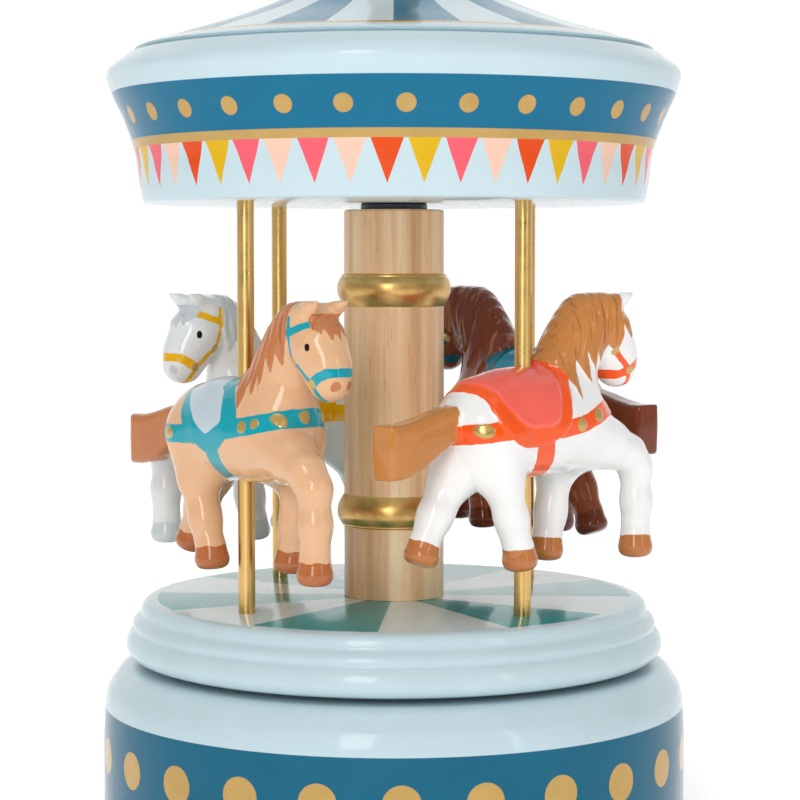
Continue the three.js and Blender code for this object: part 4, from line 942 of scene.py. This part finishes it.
def raised(distance, height, edge=0.35):
    """Relief of a part: its full height inside, falling to nothing over the edge."""
    t = np.clip(0.5 - distance / (2 * edge), 0, 1)
    return height * t * t * (3 - 2 * t)


def horse_surface(x, y, z, tack):
    body = horse_body(x, y, z)
    near = np.abs(body) < 2.5
    if not near.any():
        return body
    px, py, pz = x[near], y[near], z[near]
    part = painted_parts(px, py, pz, tack)
    locks = 0.12 * np.sin(3.1 * px - 0.55 * pz + 1.3 * np.sin(0.5 * pz)) * (part["mane"] < -0.3)
    relief = raised(part["mane"], 0.45) + raised(part["lock"], 0.25) + locks
    relief += raised(part["stud"], 0.22, 0.25)
    relief += raised(part["tail"], 0.2)
    if tack["moulded"]:
        saddle = raised(part["cloth"], CLOTH_RAISE) + raised(part["seat"], SEAT_RAISE, 0.5)
        relief += saddle + raised(part["straps"], 0.15)
        relief += raised(np.maximum(inside_outline(CREST, px, pz), part["mane"]), 0.4)
    body = body.copy()
    body[near] -= relief
    return blend_cut(body, z - EAR_TIP, 0.8)


print("the moulded seat stands", CLOTH_RAISE + SEAT_RAISE, "mm proud")

# %% [markdown]
# The field is sampled on a grid half a millimetre fine, and a surface is stretched over it:
# one point in each cell that the surface crosses, joined into four-sided faces. Then each
# point is pulled onto the exact surface, which takes away the steps of the grid.

# %% From distance field to mesh
def skin(field, low, step):
    """Points and four-sided faces of the zero surface of a sampled field."""
    cells = tuple(n - 1 for n in field.shape)
    total, hits, quads = np.zeros(cells + (3,), np.float32), np.zeros(cells, np.float32), []
    turned_round = [((a, (a + 1) % 3, (a + 2) % 3), (0, 1, 2)) for a in range(3)]
    for axes, home in turned_round:
        f, sums, count = (np.moveaxis(v, axes, home) for v in (field, total, hits))
        cross = (f[:-1] < 0) != (f[1:] < 0)
        share = np.where(cross, f[:-1] / np.where(cross, f[:-1] - f[1:], 1), 0)
        index = np.indices(cross.shape, dtype=np.float32)
        for db in (0, 1):
            for dc in (0, 1):
                part = (slice(None), slice(db, db + count.shape[1]), slice(dc, dc + count.shape[2]))
                count += cross[part]
                sums[..., axes[0]] += cross[part] * (index[0][part] + share[part])
                sums[..., axes[1]] += cross[part] * index[1][part]
                sums[..., axes[2]] += cross[part] * index[2][part]
    number = np.full(cells, -1)
    number[hits > 0] = np.arange(int((hits > 0).sum()))
    for axes, home in turned_round:
        f, n = np.moveaxis(field, axes, home), np.moveaxis(number, axes, home)
        cross = ((f[:-1] < 0) != (f[1:] < 0))[:, 1:-1, 1:-1]
        i, j, k = np.nonzero(cross)
        j, k = j + 1, k + 1
        ring = np.stack([n[i, j - 1, k - 1], n[i, j, k - 1], n[i, j, k], n[i, j - 1, k]], 1)
        outward = f[i, j, k] < 0
        quads.append(np.where(outward[:, None], ring, ring[:, ::-1]))
    used = hits > 0
    return low + step * total[used] / hits[used][:, None], np.concatenate(quads)


def settle(points, surface, rounds=2, probe=0.06, reach=0.3):
    """Pulls points onto the exact surface, by at most reach mm a round."""
    p = points.astype(np.float32)
    for _ in range(rounds):
        here = surface(*p.T)
        shifted = [surface(*(p + probe * np.eye(3, dtype=np.float32)[a]).T) for a in range(3)]
        pull = np.stack([there - here for there in shifted], 1) / probe
        move = here / np.maximum((pull**2).sum(1), 0.3)
        p -= np.clip(move[:, None] * pull, -reach, reach)
    return p


# %% [markdown]
# Two casts are made, one in each set of tack. The grid reaches a little past the horse on
# every side, so that its surface closes.

# %% Two casts
GRID_STEP = 0.5
GRID_LOW, GRID_HIGH = np.array([-41.5, -12.5, 7.5]), np.array([34.5, 12.5, 69.5])


def cast_horse(tack):
    """One horse as (points, faces, painted parts)."""
    axes = [np.arange(GRID_LOW[a], GRID_HIGH[a] + GRID_STEP, GRID_STEP, dtype=np.float32) for a in range(3)]
    x, y, z = np.meshgrid(*axes, indexing="ij")
    points, faces = skin(horse_surface(x, y, z, tack), GRID_LOW, GRID_STEP)
    points = settle(points, lambda a, b, c: horse_surface(a, b, c, tack))
    print(tack["name"], "horse:", len(points), "points,",
          np.round(points.min(0), 1), "to", np.round(points.max(0), 1))
    return points, faces, painted_parts(*points.T, tack)


wide_cast = cast_horse(WIDE)
slim_cast = cast_horse(SLIM)

# %% [markdown]
# **Horse paint.** The horses are brushed by hand with glossy acrylic enamel over the cast
# resin, and varnished more thickly than the wood. The coat goes on first, then hair and
# hooves, then the tack, and last the gold studs and the eyes. A small brush wavers by one or
# two tenths of a millimetre, so each edge gets a slight wander. Hair also has lines of a
# second shade between its locks.

# %% Paint for the horses
STUD_GOLD = "#CFAE62"
EYE_BLACK = "#15100F"


def horse_paint(name, coat, tack, seat, mane, hoof, strand, muzzle):
    material, tree = new_finish(name)
    waver = reckon(tree, "MULTIPLY", reckon(tree, "SUBTRACT", mottle(tree, 2.2, detail=2), 0.5), 0.5)

    def on(part, edge=0.07):
        distance = put(tree, "Attribute", {"attribute_name": part}, out="Fac")
        return below(tree, reckon(tree, "ADD", distance, waver), 0.0, edge)

    locks = below(tree, mottle(tree, 1.1, (1.6, 0.45, 0.09), 1), 0.37, 0.03)
    hair = paint_over(tree, reckon(tree, "MULTIPLY", locks, 0.75), linear(mane), linear(strand))
    colour = enamel_shade(tree, coat, 0.05)
    colour = paint_over(tree, on("nostril"), colour, linear(muzzle))
    colour = paint_over(tree, on("hoof"), colour, enamel_shade(tree, hoof, 0.12))
    colour = paint_over(tree, on("tack"), colour, enamel_shade(tree, tack, 0.08))
    colour = paint_over(tree, on("seat"), colour, enamel_shade(tree, seat, 0.05))
    colour = paint_over(tree, on("mane"), colour, hair)
    colour = paint_over(tree, on("lock"), colour, hair)
    colour = paint_over(tree, on("tail"), colour, enamel_shade(tree, mane, 0.1))
    gilt = on("stud", 0.09)
    colour = paint_over(tree, gilt, colour, enamel_shade(tree, STUD_GOLD, 0.15))
    colour = paint_over(tree, on("eye", 0.05), colour, linear(EYE_BLACK))
    enamel_surface(tree, colour, metal=reckon(tree, "MULTIPLY", gilt, 0.4), peel_depth=0.02, varnish=0.7)
    return material


brown = horse_paint("horse_brown_enamel", coat="#8E4423", tack="#0E6A7C", seat="#0A8CA8", mane="#7A3619",
                    hoof="#6C2C12", strand="#B57348", muzzle="#4A1D10")
grey = horse_paint("horse_grey_enamel", coat="#E9ECEC", tack="#F5B800", seat="#F5B800", mane="#CDD2D4",
                   hoof="#D5DCDF", strand="#AEB4B8", muzzle="#C5CBCE")
tan = horse_paint("horse_tan_enamel", coat="#E9B88D", tack="#00A3B3", seat="#C6D6DD", mane="#C77B49",
                  hoof="#C0703F", strand="#AF6336", muzzle="#C77B49")
white = horse_paint("horse_white_enamel", coat="#F8F7F5", tack="#FF5A10", seat="#FF6A5A", mane="#CC8442",
                    hoof="#C67C44", strand="#A9652C", muzzle="#F4F1EE")
print("paints:", [m.name for m in (brown, grey, tan, white)])

# %% [markdown]
# Each horse stands on its pole and faces along the circle it rides on. They were pushed onto
# their poles by hand, so their heights differ by a millimetre or two. Its painted parts go
# with the mesh as attributes, which the paint reads.

# %% Horses on their poles
# by pole: cast, slot, paint, and how far it is lifted in mm
HORSES = {
    1: (wide_cast, "horse_brown", brown, 1.7),
    2: (slim_cast, "horse_grey", grey, 0.2),
    3: (slim_cast, "horse_tan", tan, -0.4),
    4: (wide_cast, "horse_white", white, 0.9),
}
CAST_SCALE = [1, 1, 0.993]  # the outlines above are drawn slightly too tall
SEAT_X, SEAT_Z = 0.4, 0.2
PAINTED = ("tack", "seat", "stud", "mane", "lock", "tail", "hoof", "eye", "nostril")


def stand_horse(k):
    (points, faces, parts), slot, paint, lift = HORSES[k]
    points = points * CAST_SCALE + [SEAT_X, 0, SEAT_Z + lift]
    mesh = bpy.data.meshes.new(f"horse_{k}_cast")
    mesh.vertices.add(len(points))
    mesh.vertices.foreach_set("co", (points / 1000).ravel())
    mesh.loops.add(faces.size)
    mesh.loops.foreach_set("vertex_index", faces.ravel())
    mesh.polygons.add(len(faces))
    mesh.polygons.foreach_set("loop_start", np.arange(0, faces.size, 4))
    mesh.update(calc_edges=True)
    mesh.polygons.foreach_set("use_smooth", [True] * len(faces))
    for part in PAINTED:
        values = parts[part].astype(np.float32)
        mesh.attributes.new(part, "FLOAT", "POINT").data.foreach_set("value", values)
    piece = bpy.data.objects.new(f"horse_{k}_cast", mesh)
    scene.collection.objects.link(piece)
    px, py = pole_places[k - 1]
    piece.location = (px / 1000, py / 1000, DECK_TOP / 1000)
    piece.rotation_euler = (0, 0, math.atan2(py, px) + math.pi / 2)
    fit(piece, "carousel", paint, f"horse_{k}")


for k in HORSES:
    stand_horse(k)

# %% [markdown]
# The key, the screws and the whole movement keep their measured shapes. Each gets the metal
# it is made of: steel for what is named in the list below, and brass for the other wheels and
# housings. The cover is hardboard.

# %% Finishes for the carried nodes
STEEL_WORDS = ("screw", "arbor", "key", "ratchet", "shaft", "rod", "nut", "plate", "worm", "comb")
OWN_FINISH = {"bottom_cover": board, "movement_bedplate": zinc_casting, "mainspring": spring_steel,
              "click": spring_steel}

for name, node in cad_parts.items():
    if node.hide_render:
        continue
    usual = ground_steel if any(word in name for word in STEEL_WORDS) else turned_brass
    node.data.materials.clear()
    node.data.materials.append(OWN_FINISH.get(name, usual))
print("carried nodes:", sum(not n.hide_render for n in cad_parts.values()))

# %% [markdown]
# The studio is a white sweep of paper: floor and back wall in one curve, so no line shows
# behind the object. The paper glows a little itself, which keeps it white to its far edge.

# %% Paper sweep
BEND_R = 0.5
BEND_FROM_Y = 0.7
SWEEP_HALF_W = 2.2


def sweep():
    bend = [(BEND_FROM_Y + BEND_R * math.sin(a), BEND_R - BEND_R * math.cos(a))
            for a in [math.radians(v) for v in range(6, 91, 6)]]
    profile = [(-1.6, 0.0), (BEND_FROM_Y, 0.0)] + bend + [(1.2, 2.4)]
    points = [(side * SWEEP_HALF_W, y, z) for y, z in profile for side in (-1, 1)]
    faces = [(2 * i, 2 * i + 1, 2 * i + 3, 2 * i + 2) for i in range(len(profile) - 1)]
    mesh = bpy.data.meshes.new("paper_sweep")
    mesh.from_pydata(points, [], faces)
    mesh.polygons.foreach_set("use_smooth", [True] * len(mesh.polygons))
    piece = bpy.data.objects.new("paper_sweep", mesh)
    scene.collection.objects.link(piece)
    material, tree = new_finish("white_paper")
    fibre = mottle(tree, 0.8, detail=3)
    white_fibre = paint_over(tree, fibre, linear("#FAFAFA"), linear("#FFFFFF"))
    close_finish(tree, {"Base Color": white_fibre, "Roughness": 0.9, "Emission Color": (1, 1, 1, 1),
                        "Emission Strength": 0.35}, fibre, 0.02)
    mesh.materials.append(material)
    print("sweep has", len(faces), "faces")


sweep()

# %% [markdown]
# A wide soft light hangs above and a large fill stands by the camera. The key light and a
# narrow strip make the long bright lines on glossy necks, legs and poles.

# %% Lights
def softbox(name, place, size, power, aim=(0, 0, 0.11)):
    light = bpy.data.lights.new(name, "AREA")
    light.shape, light.size, light.size_y, light.energy = "RECTANGLE", size[0], size[1], power
    lamp = bpy.data.objects.new(name, light)
    lamp.location = place
    lamp.rotation_euler = (Vector(place) - Vector(aim)).to_track_quat("Z", "Y").to_euler()
    scene.collection.objects.link(lamp)


softbox("overhead", (0, -0.1, 1.1), (0.9, 0.9), 2.3)
softbox("fill_above_camera", (0.0, -1.5, 0.62), (1.5, 0.55), 1.5)
softbox("key_beside_camera", (-0.31, -1.25, 0.6), (0.3, 1.0), 6.4)
softbox("strip_right", (0.85, -0.8, 0.4), (0.08, 0.8), 1.0)

# %% [markdown]
# The walls round the object are white above, beside and behind it. Behind the camera the room
# is dark, so that gloss which faces the camera reflects little and the paint keeps its colour.

# %% Studio walls
WALL_GLOW, DARK_GLOW = 0.4, 0.07


def studio_walls():
    world = bpy.data.worlds.new("studio_walls")
    scene.world = world
    world.use_nodes = True
    tree = world.node_tree
    tree.nodes.clear()
    way = put(tree, "SeparateXYZ", {}, {0: put(tree, "TexCoord", out="Generated")})
    y, z = way.node.outputs[1], way.node.outputs[2]
    forward = put(tree, "MapRange", {"interpolation_type": "SMOOTHSTEP"},
                  {"Value": y, 1: -0.85, 2: -0.35, 3: 1.0, 4: 0.0})
    level = put(tree, "MapRange", {"interpolation_type": "SMOOTHSTEP"},
                {"Value": reckon(tree, "ABSOLUTE", z), 1: 0.2, 2: 0.6, 3: 1.0, 4: 0.0})
    strength = put(tree, "MapRange", {},
                   {"Value": reckon(tree, "MULTIPLY", forward, level), 3: WALL_GLOW, 4: DARK_GLOW})
    glow = put(tree, "Background", {}, {"Color": (1, 1, 1, 1), "Strength": strength})
    put(tree, "OutputWorld", {}, {"Surface": glow})


studio_walls()
print("world:", scene.world.name)
